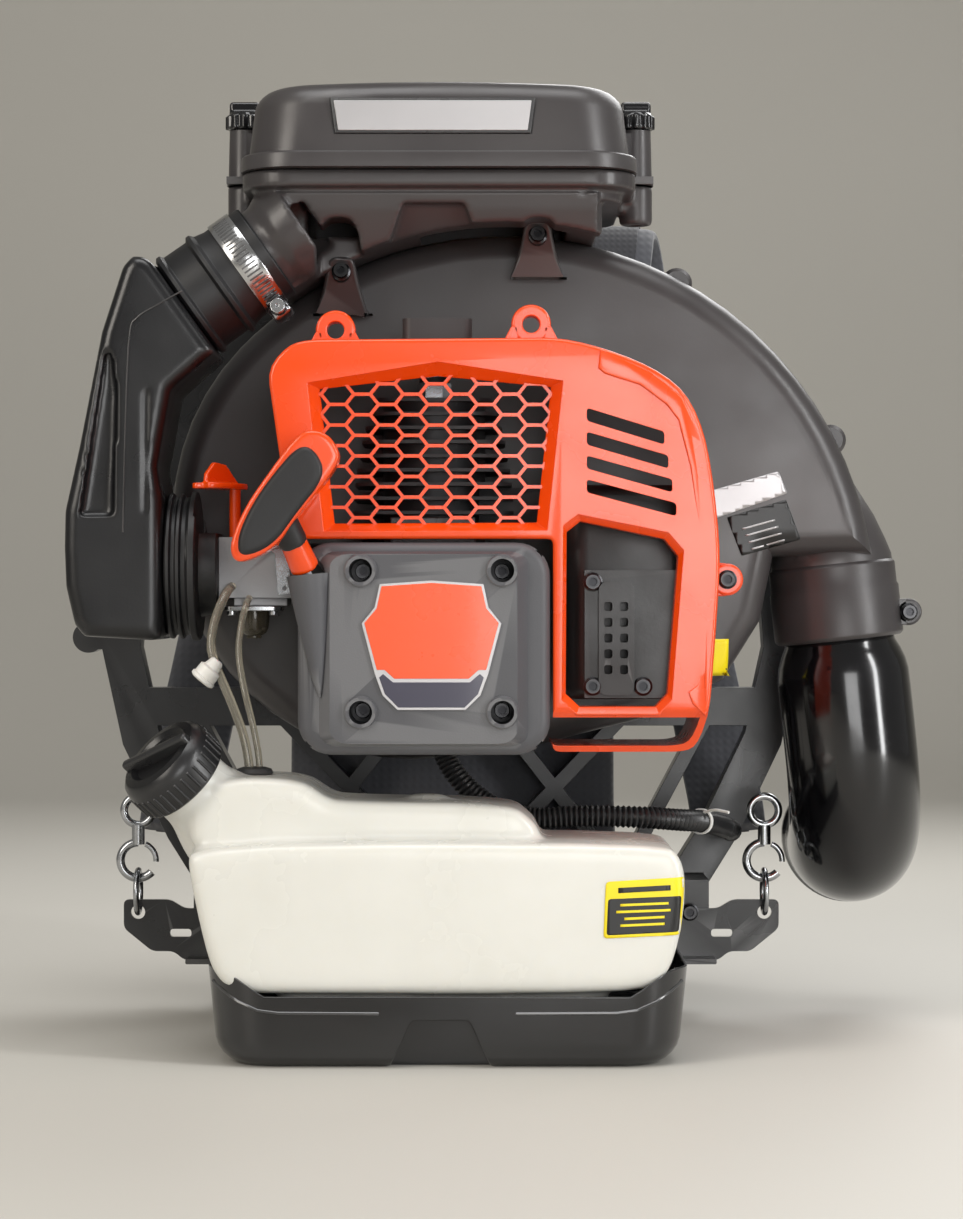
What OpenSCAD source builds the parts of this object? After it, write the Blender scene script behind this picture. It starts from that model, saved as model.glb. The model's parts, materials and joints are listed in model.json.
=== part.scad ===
// Backpack leaf blower. Millimetres, +Z up, -Y is the engine side, +Y is the wearer's side.
// The origin is on the ground, in the middle of the base tray.

/* [Base and frame] */
// Width of the base tray
tray_w = 242; // [200:1:290]
// Depth of the base tray, front to back
tray_d = 286; // [240:1:340]
// Height of the tray's front lip
tray_lip = 36; // [33:1:42]
// Wall of the tray
tray_wall = 4; // [3:0.5:6]
// Half width of the back frame at its widest
frame_half = 202; // [170:1:240]
// Height of the back frame
frame_h = 430; // [400:1:500]
// Thickness of the back frame
frame_t = 20; // [14:1:24]
// Width of the frame's outer band
frame_band = 22; // [16:1:28]

/* [Engine] */
// Height of the crankshaft above the ground
crank_z = 212; // [205:1:255]
// Crankshaft's place across the machine
crank_x = -8; // [-20:1:20]
// Cylinder bore
bore_d = 48; // [40:1:50]
// Piston stroke
stroke = 34; // [28:1:38]
// Diameter of the crankshaft journals
shaft_d = 15; // [12:0.5:18]
// Diameter of the flywheel
flywheel_d = 80; // [66:1:86]
// Number of cooling fins on the cylinder
fin_count = 10; // [6:1:12]

/* [Blower] */
// Radius of the fan housing's outer arc
scroll_r = 202; // [190:1:235]
// Depth of the fan housing, front to back
scroll_depth = 80; // [66:1:90]
// Wall of the fan housing
scroll_wall = 3; // [2:0.5:4]
// Diameter of the fan wheel
fan_d = 118; // [90:1:122]
// Number of fan blades
fan_blades = 12; // [8:1:16]
// Outer diameter of the outlet spigot
spigot_d = 60; // [50:1:66]
// Outer diameter of the elbow
elbow_d = 73; // [64:1:80]
// Bend radius of the elbow
elbow_bend = 55; // [48:1:64]

/* [Starter] */
// Width of the starter cover
starter_w = 127; // [120:1:134]
// Height of the starter cover
starter_h = 107; // [100:1:112]
// Depth of the starter cover
starter_depth = 42; // [36:1:46]
// Spacing of the four starter screws
starter_pitch = 71; // [64:1:76]
// Radius on which the starter rope winds
reel_r = 25; // [20:1:28]
// Diameter of the starter rope
rope_d = 4; // [3:0.5:5]

/* [Air cleaner] */
// Width of the air cleaner lid
lid_w = 229; // [215:1:250]
// Depth of the air cleaner lid, front to back
lid_d = 168; // [140:1:180]
// Height of the lid
lid_h = 46; // [40:1:56]
// Outer diameter of the intake duct's mouths
duct_d = 52; // [44:1:56]
// Outer diameter of the ribbed intake ring
ring_d = 79; // [70:1:84]

/* [Fuel tank] */
// Depth of the tank, front to back
tank_d = 108; // [90:1:116]
// Wall of the tank
tank_wall = 2.5; // [2:0.5:4]
// Diameter of the fuel cap
cap_d = 52; // [46:1:58]

/* [Fits] */
// Radial clearance of turning fits
turn_gap = 0.05; // [0.03:0.01:0.1]
// Gap between pieces that move past each other
move_gap = 0.5; // [0.3:0.1:1]

/* [Hidden] */
$fn = 48;

// Colours
black = "#17181a";
housing_grey = "#474547";
starter_grey = "#5b5b5e";
orange = "#e8480f";
tank_white = "#e9e9e4";
steel = "#a9abad";
cast = "#8c8d8e";
cloth = "#4b4c50";

// Front-to-back places
starter_front = -130;
starter_back = starter_front + starter_depth;
cover_front = -120;
cover_back = -25;
cyl_y = -35;
case_front = -62;
scroll_front = 5;
scroll_back = scroll_front + scroll_depth;
scroll_mid = scroll_front + scroll_depth / 2;
frame_y = 117;
tray_front = -tray_d / 2;

// ---- helpers ----
function unit(v) = v / norm(v);
function arc(c, r, a0, a1, n) =
    [for (i = [0 : n]) let (a = a0 + (a1 - a0) * i / n) c + r * [cos(a), sin(a)]];
function rounded(w, h, r, n = 5) = concat(
    arc([w / 2 - r, h / 2 - r], r, 0, 90, n),
    arc([-w / 2 + r, h / 2 - r], r, 90, 180, n),
    arc([-w / 2 + r, -h / 2 + r], r, 180, 270, n),
    arc([w / 2 - r, -h / 2 + r], r, 270, 360, n));
// Moves every side of a counter-clockwise outline inwards by t
function inset(pts, t) = let (n = len(pts)) [for (i = [0 : n - 1])
    let (a = unit(pts[i] - pts[(i + n - 1) % n]),
         b = unit(pts[(i + 1) % n] - pts[i]),
         na = [-a.y, a.x],
         nb = [-b.y, b.x])
    pts[i] + t * (na + nb) / (1 + na * nb)];

// Extrudes an (x, z) outline from y0 to y1
module along_y(y0, y1) {
    translate([0, y1, 0]) rotate([90, 0, 0]) linear_extrude(height = y1 - y0) children();
}
// Extrudes a (y, z) outline from x0 to x1
module along_x(x0, x1) {
    translate([x0, 0, 0]) rotate([90, 0, 90]) linear_extrude(height = x1 - x0) children();
}
module on_crank() { translate([crank_x, 0, crank_z]) children(); }
module rod_y(x, z, y0, y1, r) { translate([x, y1, z]) rotate([90, 0, 0]) cylinder(h = y1 - y0, r = r); }
module rod_x(y, z, x0, x1, r) { translate([x0, y, z]) rotate([0, 90, 0]) cylinder(h = x1 - x0, r = r); }
// A straight bar of width w between two points of an outline
module bar(a, b, w) {
    translate(a) rotate(atan2(b.y - a.y, b.x - a.x))
        translate([0, -w / 2]) square([norm(b - a), w]);
}
// Sweeps a flat or round section along a route; side is the section's own width direction
function frame_at(route, i, side) = let (
    n = len(route),
    t = unit(route[min(i + 1, n - 1)] - route[max(i - 1, 0)]),
    w = unit(side - (side * t) * t)) [w, cross(t, w)];
module sweep(route, section, side = [1, 0.013, 0.007]) {
    k = len(section);
    n = len(route);
    pts = [for (i = [0 : n - 1]) let (f = frame_at(route, i, side)) for (s = section)
        route[i] + s.x * f[0] + s.y * f[1]];
    sides = [for (i = [0 : n - 2]) for (j = [0 : k - 1]) for (half = [0, 1])
        let (a = i * k + j, b = i * k + (j + 1) % k) half == 0 ? [b, a, b + k] : [a, a + k, b + k]];
    ends = [[for (j = [0 : k - 1]) j], [for (j = [k - 1 : -1 : 0]) (n - 1) * k + j]];
    polyhedron(points = pts, faces = concat(sides, ends), convexity = 8);
}
function round_section(r, k = 8) = [for (j = [0 : k - 1]) r * [cos(360 * j / k), sin(360 * j / k)]];

// ---- outlines, seen from the engine side, about the crankshaft ----
top_c = [38, 18];
side_r = 132.9;
side_c = top_c + (scroll_r - side_r) * [cos(135), sin(135)];
outlet_x = top_c.x + scroll_r - 21;
outlet_z = 42;
scroll_bottom = side_c.y - side_r;
scroll_pts = concat(
    arc(top_c, scroll_r, asin((outlet_z + 3 - top_c.y) / scroll_r), 135, 20),
    [for (p = arc(side_c, side_r, 135, 270, 16)) if (p != side_c + side_r * [cos(135), sin(135)]) p],
    [[40, scroll_bottom + 4], [110, scroll_bottom + 22], [outlet_x - 62, scroll_bottom + 44],
        [outlet_x - spigot_d / 2 - 12, outlet_z - 32], [outlet_x - spigot_d / 2 - 5, outlet_z + 3]]);
cover_pts = [[61, -56.3], [126, -56.3], [134, -54], [140, -35], [143.5, 10.7], [145.5, 43.7], [142.5, 76],
    [137.4, 105.6], [128, 126], [110.5, 138.6], [86, 148], [65, 153], [-63, 152], [-73, 149], [-83, 137],
    [-70.7, starter_h / 2 - 2], [61, starter_h / 2 - 2]];
honeycomb_pts = [[-49.2, 59.5], [52.9, 60], [60, 128.4], [3.1, 134], [-56.7, 127.4]];
muffler_window = [[67.5, -26.5], [74.5, -33], [112.8, -33], [118.8, -26.5], [124.3, 43], [117.3, 51.5],
    [75, 60.5], [68, 55]];
badge_pts = [[-17, -34.3], [17, -34.3], [24.5, -27], [28.5, -16], [35, 9], [28.5, 17], [26, 28.7], [0, 30.5],
    [-26, 28.7], [-28.5, 17], [-35, 9], [-28.5, -16], [-24.5, -27]];
starter_mid_z = -3.7;
screw_mid_z = 0;

// ---- base and frame ----
notch_pts = [[-31, -1], [24, -1], [14, 24], [-21, 24]];
module tray_plan(t) { polygon(inset(rounded(tray_w, tray_d, 26), t)); }
module base_tray() {
    foot_z = tank_foot_z;
    color(black) {
        difference() {
            linear_extrude(height = tray_lip) tray_plan(0);
            translate([0, 0, tray_wall]) linear_extrude(height = tray_lip) tray_plan(tray_wall);
            along_y(tray_front - 1, tray_front + 14) polygon(notch_pts);
        }
        // Wall that closes the hand notch
        difference() {
            translate([-36, tray_front + tray_wall, 0]) cube([64, 14, 27]);
            along_y(tray_front, tray_front + 14) polygon(notch_pts);
        }
        // Ribs that carry the tank
        for (y = [tray_front + 26, tray_front + 62, tray_front + 98])
            translate([-tray_w / 2 + tray_wall - 0.5, y, tray_wall - 0.5])
                cube([tray_w - 2 * tray_wall + 1, 4, foot_z - tray_wall + 0.5]);
        // Side cheeks
        for (s = [-1, 1])
            along_x(s * (tray_w / 2 - tray_wall / 2) - tray_wall / 2, s * (tray_w / 2 - tray_wall / 2) + tray_wall / 2)
                polygon([[tray_front + 28, tray_lip - 1], [tray_d / 2 - 28, tray_lip - 1],
                    [tray_d / 2 - 40, 52], [tray_front + tank_d + 14, 52], [tray_front + tank_d - 4, 44],
                    [tray_front + 44, 44]]);
    }
}

frame_right = [[0, tray_wall + 1], [98, tray_wall + 1], [104, 40], [frame_half - 58, 64], [frame_half - 38, 96], [frame_half - 12, 150],
    [frame_half, 205], [frame_half - 4, 262], [frame_half - 30, frame_h - 98],
    [frame_half - 72, frame_h - 38], [80, frame_h - 4], [0, frame_h]];
frame_pts = concat(frame_right, [for (i = [len(frame_right) - 2 : -1 : 1]) [-frame_right[i].x, frame_right[i].y]]);
mount_spots = [[-70, crank_z - 40], [70, crank_z - 40], [-70, crank_z + 118], [70, crank_z + 118]];
strap_bar_z = frame_h - 50;
module back_frame() {
    color(black) {
        along_y(frame_y, frame_y + frame_t) {
            difference() {
                polygon(frame_pts);
                polygon(inset(frame_pts, frame_band));
            }
            intersection() {
                polygon(frame_pts);
                union() {
                    for (z = [mount_spots[0].y, mount_spots[2].y, strap_bar_z])
                        translate([-frame_half, z - 11]) square([2 * frame_half, 22]);
                    for (s = [-1, 1]) {
                        bar([s * 22, mount_spots[0].y], [s * 102, 70], 8);
                        bar([s * 104, mount_spots[0].y], [s * 22, 86], 8);
                        bar([s * 150, mount_spots[0].y], [s * 90, 60], 8);
                        bar([s * 70, mount_spots[0].y], [s * 70, mount_spots[2].y], 20);
                    }
                    difference() {
                        translate([-118, 5]) square([236, 90]);
                        polygon(concat(arc([0, 95], 44, 180, 360, 12)));
                    }
                }
            }
        }
        // Foot that stands in the tray
        translate([-tray_w / 2 + 12, frame_y - 24, tray_wall]) cube([tray_w - 24, 25, 24]);
        // Side lug and carrying bosses
        for (s = [-1, 1]) rod_y(s * (frame_half + 8), crank_z, frame_y, frame_y + frame_t, 9);
        for (s = [-1, 1]) translate([s * (frame_half + 1) - 9, frame_y, crank_z - 7]) cube([18, frame_t, 14]);
        // Posts that carry the side brackets
        for (s = [-1, 1]) difference() {
            translate([s * bracket_screw.x - 11, bracket_y, 36]) cube([22, 48, 40]);
            rod_y(s * bracket_screw.x, bracket_screw.y, bracket_y - 1, bracket_y + 14, screw_r);
        }
    }
}
module av_mounts() {
    color(black) for (p = mount_spots) rod_y(p.x, p.y, scroll_back, frame_y, 11);
}
module back_pad() {
    color(cloth) difference() {
        along_y(frame_y + frame_t, frame_y + frame_t + 26)
            translate([0, frame_h / 2 + 18]) polygon(rounded(200, frame_h - 90, 34));
        along_y(frame_y + frame_t + 12, frame_y + frame_t + 27)
            translate([0, frame_h / 2 + 18]) polygon(rounded(22, frame_h - 130, 10));
    }
}

strap_t = 9;
strap_w = 44;
strap_route = [[94, 147, 408], [94, 149, 424], [96, 158, 440], [98, 174, 450], [101, 190, 448], [105, 201, 432],
    [110, 207, 400], [117, 210, 350], [126, 210, 300], [136, 207, 250], [146, 200, 200], [153, 190, 165],
    [158, 174, 134], [161, 158, 114], [162, 148, 100]];
module strap(s) {
    section = [[-strap_w / 2, -strap_t / 2], [strap_w / 2, -strap_t / 2], [strap_w / 2, strap_t / 2],
        [-strap_w / 2, strap_t / 2]];
    n = len(strap_route);
    route = [for (i = [0 : n - 1]) let (p = strap_route[s < 0 ? n - 1 - i : i]) [s * p.x, p.y, p.z]];
    color(cloth) sweep(route, section);
}
module strap_left() { strap(-1); }
module strap_right() { strap(1); }

bracket_y = frame_y - 46;
bracket_screw = [frame_half - 68, 58];
ring_r = 12;
ring_wire = 1.6;
hole_z = 58;
ring_at = [bracket_screw.x + 42, bracket_y - 1.5, hole_z + ring_r - 0.5];
module hook_brackets() {
    color(steel) for (s = [-1, 1]) difference() {
        translate([s * (bracket_screw.x + 19) - 31, bracket_y - 3, 30]) cube([62, 3, 36]);
        rod_y(s * ring_at.x, hole_z, bracket_y - 4, bracket_y + 1, 4);
        rod_y(s * bracket_screw.x, bracket_screw.y, bracket_y - 4, bracket_y + 1, screw_r + 0.2);
    }
}
module wire_rings() {
    color(steel) for (s = [-1, 1]) translate([s * ring_at.x, ring_at.y, ring_at.z])
        rotate([0, 90, 0]) rotate_extrude() translate([ring_r, 0]) circle(r = ring_wire);
}
// The hook's jaw is threaded on the top of the ring
jaw_r = 10;
jaw_wire = 2.4;
jaw_at = [ring_at.x, ring_at.y, ring_at.z + ring_r - ring_wire - move_gap + jaw_r - jaw_wire];
gate_pivot_angle = 78;
module on_jaw(s) { translate([s * jaw_at.x, jaw_at.y, jaw_at.z]) children(); }
module snap_hook(s) {
    color(steel) on_jaw(s) {
        translate([0, 0, 28]) rotate([90, 0, 0]) rotate_extrude() translate([8, 0]) circle(r = 2.2);
        translate([0, 0, jaw_r - 1]) cylinder(h = 11, r = 3.6);
        rotate([90, 0, 0]) rotate_extrude(angle = 228, start = 90) translate([jaw_r, 0]) circle(r = jaw_wire);
    }
}
module snap_gate(s) {
    color(steel) on_jaw(s) rotate([90, 0, 0]) rotate_extrude(angle = gate_pivot_angle - 8, start = -4)
        translate([jaw_r, 0]) circle(r = 1.6);
}
module hook_left() { snap_hook(-1); }
module hook_right() { snap_hook(1); }
module gate_left() { snap_gate(-1); }
module gate_right() { snap_gate(1); }

// ---- blower ----
module outlet_axis() {
    on_crank() translate([outlet_x, scroll_mid, outlet_z]) rotate([0, 174, 0]) children();
}
intake_r = 46;
lug_angles = [27, 62];
module volute_half(y0, y1, cavity_y0, cavity_y1) {
    color(housing_grey) difference() {
        union() {
            on_crank() along_y(y0, y1) {
                polygon(scroll_pts);
                for (a = lug_angles) translate(top_c + (scroll_r - 4) * [cos(a), sin(a)]) circle(r = 9);
            }
            intersection() {
                outlet_axis() translate([0, 0, -34]) cylinder(h = 54, d = spigot_d);
                translate([crank_x + outlet_x - 60, y0, 180]) cube([120, y1 - y0, 180]);
            }
        }
        on_crank() along_y(cavity_y0, cavity_y1) polygon(inset(scroll_pts, scroll_wall));
        outlet_axis() translate([0, 0, -60]) cylinder(h = 84, d = spigot_d - 2 * scroll_wall);
        on_crank() children();
    }
}
module volute_front() {
    volute_half(scroll_front, scroll_mid, scroll_front + scroll_wall, scroll_mid + 1)
        rod_y(0, 0, scroll_front - 1, scroll_front + 6, shaft_d / 2 + 3);
}
module volute_rear() {
    volute_half(scroll_mid, scroll_back, scroll_mid - 1, scroll_back - scroll_wall)
        rod_y(0, 0, scroll_back - 6, scroll_back + 1, intake_r);
}
module intake_grille() {
    color(black) on_crank() {
        difference() {
            rod_y(0, 0, scroll_back, scroll_back + 3, intake_r + 8);
            rod_y(0, 0, scroll_back - 1, scroll_back + 4, intake_r - 2);
        }
        for (i = [-3 : 3]) let (h = sqrt(pow(intake_r - 1, 2) - pow(12 * i, 2)))
            translate([12 * i - 1.2, scroll_back, -h]) cube([2.4, 3, 2 * h]);
        translate([1 - intake_r, scroll_back, -1.2]) cube([2 * intake_r - 2, 3, 2.4]);
    }
}
fan_back = scroll_front + 54;
module fan() {
    color(black) on_crank() {
        difference() {
            union() {
                rod_y(0, 0, scroll_front + 8, scroll_front + 11, fan_d / 2);
                rod_y(0, 0, scroll_front + 8, scroll_front + 34, 13);
            }
            rod_y(0, 0, scroll_front, fan_back, shaft_d / 2 - 0.001);
        }
        for (i = [0 : fan_blades - 1]) rotate([0, 360 * i / fan_blades, 0])
            translate([24, scroll_front + 10, -1]) rotate([0, -32, 0]) cube([fan_d / 2 - 30, 44, 2.2]);
    }
}
collar_len = 43;
collar_wall = 4.2;
module outlet_collar() {
    color(housing_grey) outlet_axis() difference() {
        union() {
            cylinder(h = collar_len, d = spigot_d + 2 * collar_wall);
            for (y = [-7, 7]) translate([-spigot_d / 2 - collar_wall - 9, y - 4, 24]) cube([14, 8, 15]);
        }
        translate([0, 0, -1]) cylinder(h = collar_len + 2, d = spigot_d + 0.2);
        translate([-spigot_d / 2 - 16, -3, 20]) cube([20, 6, collar_len]);
        translate([-spigot_d / 2 - 8.5, -20, 31.5]) rotate([-90, 0, 0]) cylinder(h = 40, r = 2.75);
    }
}
neck_from = 21;
bend_from = 102;
module elbow() {
    wall = 2.5;
    bore = elbow_d / 2 - wall;
    mouth = 24;
    color(black) outlet_axis() difference() {
        union() {
            translate([0, 0, neck_from]) cylinder(h = 27, d = spigot_d);
            translate([0, 0, neck_from + 23]) cylinder(h = 14, d1 = spigot_d + 4, d2 = elbow_d);
            translate([0, 0, neck_from + 37]) cylinder(h = bend_from - neck_from - 37, d = elbow_d);
            translate([0, elbow_bend, bend_from]) rotate([0, -90, 180]) rotate_extrude(angle = 90)
                translate([elbow_bend, 0]) circle(d = elbow_d);
            translate([0, elbow_bend, bend_from + elbow_bend]) rotate([-90, 0, 0]) cylinder(h = mouth, d = elbow_d);
        }
        translate([0, 0, neck_from - 1]) cylinder(h = 40, r = spigot_d / 2 - wall);
        translate([0, 0, neck_from + 38]) cylinder(h = bend_from - neck_from - 38, r = bore);
        translate([0, elbow_bend, bend_from]) rotate([0, -90, 180]) rotate_extrude(angle = 90)
            translate([elbow_bend, 0]) circle(r = bore);
        translate([0, elbow_bend, bend_from + elbow_bend]) rotate([-90, 0, 0]) cylinder(h = mouth + 1, r = bore);
    }
}

// ---- engine ----
case_back = scroll_front;
case_r = 31.5;
cavity_r = 26;
case_top = 32;
boss_spots = [for (x = [-1, 1]) for (z = [-1, 1]) [x * starter_pitch / 2, screw_mid_z + z * starter_pitch / 2]];
screw_head_r = 4.5;
screw_r = 2.5;
module crankcase() {
    color(cast) on_crank() difference() {
        union() {
            rod_y(0, 0, case_front, case_back, case_r);
            translate([-32, case_front, 0]) cube([64, -8 - case_front, case_top]);
            rod_y(0, 0, -8, case_back, 44);
            // Housing round the flywheel, with the starter's bosses
            difference() {
                rod_y(0, 0, starter_back, case_front, flywheel_d / 2 + 7);
                rod_y(0, 0, starter_back - 1, case_front - 3, flywheel_d / 2 + 4);
                translate([-24, starter_back - 1, 20]) cube([48, 30, 40]);
            }
            for (p = boss_spots) rod_y(p.x, p.y, starter_back, case_front, 6.5);
            for (p = boss_spots) along_y(case_front - 3, case_front)
                bar([0, 0], p, 10);
        }
        rod_y(0, 0, starter_back - 2, case_back + 1, shaft_d / 2 + turn_gap);
        rod_y(0, 0, cyl_y - 13, cyl_y + 13, cavity_r);
        translate([0, cyl_y, 0]) cylinder(h = 60, d = bore_d + 0.4);
        for (p = boss_spots) rod_y(p.x, p.y, starter_back - 1, starter_back + 16, screw_r);
    }
}
cyl_h = 100;
fin_pitch = 7.4;
port_z = 39;
module cylinder_body() {
    barrel = bore_d / 2 + 3;
    translate([0, cyl_y, case_top]) cylinder(h = cyl_h - 6, r = barrel);
    translate([-32, cyl_y - 27, case_top]) cube([64, 54, 5]);
    for (i = [0 : fin_count - 1]) translate([0, cyl_y, 58 + fin_pitch * i])
        linear_extrude(height = 1.8) polygon(rounded(84 - 0.25 * i * i, 74 - 0.2 * i * i, 14));
    // Intake and exhaust flanges
    rod_x(cyl_y, port_z + 4.5, -38, 0, 10);
    translate([0, cyl_y - 13, 58]) cube([muffler_x - 0.1, 26, 22]);
}
module cylinder_node() {
    color(cast) on_crank() difference() {
        cylinder_body();
        translate([0, cyl_y, case_top - 1]) cylinder(h = piston_h + stroke + 21, d = bore_d);
        rod_x(cyl_y, port_z + 4.5, -40, 0, 7);
        rod_x(cyl_y, 69, 0, muffler_x + 2, 8);
        translate([0, cyl_y, case_top + cyl_h - 40]) cylinder(h = 50, r = 5);
    }
}
piston_h = 30;
module piston() {
    color(cast) on_crank() difference() {
        translate([0, cyl_y, case_top + 3]) cylinder(h = piston_h, r = bore_d / 2 - turn_gap);
        translate([0, cyl_y, case_top + 2]) cylinder(h = piston_h - 5, r = bore_d / 2 - 4);
    }
}
module crankshaft() {
    color(steel) on_crank() {
        rod_y(0, 0, starter_back + 6, cyl_y - 4, shaft_d / 2);
        rod_y(0, 0, cyl_y + 4, fan_back - 12, shaft_d / 2);
        for (y = [cyl_y - 11, cyl_y + 4]) rod_y(0, 0, y, y + 7, cavity_r - 2);
        rod_y(0, -14, cyl_y - 5, cyl_y + 5, 6);
    }
}
module flywheel() {
    color(cast) on_crank() difference() {
        union() {
            rod_y(0, 0, case_front - 19, case_front - 5, flywheel_d / 2);
            for (i = [0 : 11]) rotate([0, 30 * i, 0])
                translate([18, starter_back + 3, -1]) cube([flywheel_d / 2 - 19, 6, 2]);
        }
        rod_y(0, 0, starter_back, case_front, shaft_d / 2 - 0.001);
    }
}
module spark_plug() {
    color(steel) on_crank() translate([0, cyl_y, case_top]) {
        translate([0, 0, cyl_h - 5.4]) cylinder(h = 9, r = 9, $fn = 6);
        translate([0, 0, cyl_h - 30]) cylinder(h = 25, r = 4.95);
        translate([0, 0, cyl_h + 3]) cylinder(h = 14, r = 4.5);
    }
}
boot_z = 154;
module plug_boot() {
    color(black) on_crank() difference() {
        union() {
            translate([2, cyl_y - 18, boot_z]) linear_extrude(height = 13) polygon(rounded(36, 40, 5));
            translate([0, cyl_y, case_top + cyl_h + 4]) cylinder(h = boot_z - case_top - cyl_h - 3, r = 8);
        }
        translate([0, cyl_y, case_top + cyl_h + 3]) cylinder(h = 14.2, r = 4.55);
    }
}
module ignition_coil() {
    color(black) on_crank() {
        translate([-22, -86, flywheel_d / 2 + 9.5]) cube([44, 11, 14]);
        for (x = [-20, 14]) translate([x, -84, flywheel_d / 2 + 1]) cube([6, 9, 9]);
    }
}
muffler_x = 66;
muffler_w = 70;
module muffler() {
    color(black) on_crank() difference() {
        translate([muffler_x + muffler_w / 2, -62, -30]) linear_extrude(height = 110)
            polygon(rounded(muffler_w, 62, 14));
        translate([muffler_x + muffler_w / 2, -62, -28]) linear_extrude(height = 106)
            polygon(rounded(muffler_w - 4, 58, 12));
        rod_x(cyl_y, 69, muffler_x - 2, muffler_x + 5, 8);
    }
}
guard_y = -104;
guard_spots = [[81.5, 30], [81.5, -23], [107, -23]];
module muffler_guard() {
    color(black) on_crank() difference() {
        union() {
            translate([77.4, guard_y, -29]) cube([57, 2, 65]);
            translate([86, guard_y - 3, -27]) cube([15, 4, 56]);
            for (z = [-29, 33]) translate([77.4, guard_y, z]) cube([57, 10.5, 3]);
        }
        for (x = [89.5, 97]) for (i = [0 : 4]) rod_y(x, -14 + 8 * i, guard_y - 4, guard_y + 3, 1.9);
        for (p = guard_spots) rod_y(p.x, p.y, guard_y - 1, guard_y + 3, screw_r + 0.2);
    }
}
cover_screw_spots = [[150.5, 31.3], [-49.7, 159], [50.4, 162]];
module flange_screw(len) {
    cylinder(h = 4.5, r = screw_head_r);
    translate([0, 0, -len]) cylinder(h = len, r = screw_r - 0.02);
}
module case_screws() {
    color(steel) {
        on_crank() {
            for (p = boss_spots) translate([p.x, starter_back - 4, p.y]) rotate([90, 0, 0]) flange_screw(18);
            translate([cover_screw_spots[0].x, cover_front + 24, cover_screw_spots[0].y])
                rotate([90, 0, 0]) flange_screw(12);
            for (p = guard_spots) translate([p.x, guard_y, p.y]) rotate([90, 0, 0]) flange_screw(8);
        }
        for (s = [-1, 1]) translate([s * bracket_screw.x, bracket_y - 3, bracket_screw.y])
            rotate([90, 0, 0]) flange_screw(12);
        outlet_axis() translate([-spigot_d / 2 - 8.5, -11, 31.5]) rotate([90, 0, 0]) flange_screw(22);
    }
}

// ---- starter ----
boss_r = 8.3;
function shifted(pts, dz) = [for (p = pts) [p.x, p.y + dz]];
starter_pts = shifted([for (p = rounded(starter_w, starter_h, 15)) [p.x - 4, p.y]], starter_mid_z);
module starter_cover() {
    color(starter_grey) on_crank() difference() {
        union() {
            difference() {
                along_y(starter_front + 6, starter_back) polygon(starter_pts);
                along_y(starter_front + 9, starter_back + 1) polygon(inset(starter_pts, 3));
            }
            along_y(starter_front, starter_front + 9) polygon(inset(starter_pts, 5));
            for (p = boss_spots) rod_y(p.x, p.y, starter_front - 2, starter_back, boss_r);
            rod_y(0, 0, starter_front + 8, starter_back - 4, 6);
            // Rope guide
            translate(guide_at) rotate(pull_turn) cylinder(h = 34, r1 = 9, r2 = 7);
        }
        for (p = boss_spots) {
            rod_y(p.x, p.y, starter_front - 3, starter_back - 4, 5.9);
            rod_y(p.x, p.y, starter_front, starter_back + 1, screw_r + 0.3);
        }
        translate(guide_at) rotate(pull_turn) translate([0, 0, -30]) cylinder(h = 80, r = rope_d / 2 + 1);
        // Room for the handle's ferrule
        translate(guide_at) rotate(pull_turn) translate([0, 0, 35]) cylinder(h = 60, r = ferrule_r + 1);
    }
}
// The rope leaves the cover's upper left corner and is pulled up, a little left and outwards
pull_dir = unit([-0.36, -0.42, 0.83]);
pull_turn = [0, acos(pull_dir.z), atan2(pull_dir.y, pull_dir.x)];
guide_at = [-50, starter_front + 18, 6];
ferrule_r = 7.5;
ferrule_at = guide_at + 36 * pull_dir;
badge_y = starter_front - 1.2;
module badge() {
    color(orange) on_crank() along_y(badge_y, starter_front) translate([0, screw_mid_z]) polygon(badge_pts);
}
reel_y = starter_front + 14;
module starter_reel() {
    color(black) on_crank() difference() {
        union() {
            rod_y(0, 0, reel_y, reel_y + 2, reel_r + 6);
            rod_y(0, 0, reel_y + 1, reel_y + 9, reel_r - rope_d / 2);
            rod_y(0, 0, reel_y + 8, reel_y + 10, reel_r + 6);
            rod_y(0, 0, reel_y + 9, reel_y + 15, 12);
        }
        rod_y(0, 0, reel_y - 1, reel_y + 16, 6 + turn_gap);
    }
}
module recoil_spring() {
    color(steel) on_crank() difference() {
        rod_y(0, 0, starter_front + 9, reel_y - move_gap, 22);
        rod_y(0, 0, starter_front + 8, reel_y, 15);
    }
}
grip_pts = [[-94.3, 38.5], [-77, 46.4], [-66.1, 62.7], [-44.4, 88.9], [-47, 98], [-52.3, 103.7], [-62, 105.5],
    [-70, 98], [-79.5, 84.9], [-91.8, 67.6], [-99.2, 50.3], [-99, 42]];
handle_y = ferrule_at.y - 9;
module starter_handle() {
    color(orange) on_crank() {
        along_y(handle_y - 14, handle_y + 10) polygon(grip_pts);
        difference() {
            translate(ferrule_at) rotate(pull_turn) cylinder(h = 34, r1 = ferrule_r, r2 = 6.5);
            translate(ferrule_at) rotate(pull_turn) translate([0, 0, -1]) cylinder(h = 9, r = rope_d / 2 + 0.3);
        }
    }
}
module starter_rope() {
    color("#c9cbd1") on_crank() translate(guide_at) rotate(pull_turn)
        translate([0, 0, -2]) cylinder(h = 44, r = rope_d / 2);
}

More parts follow.
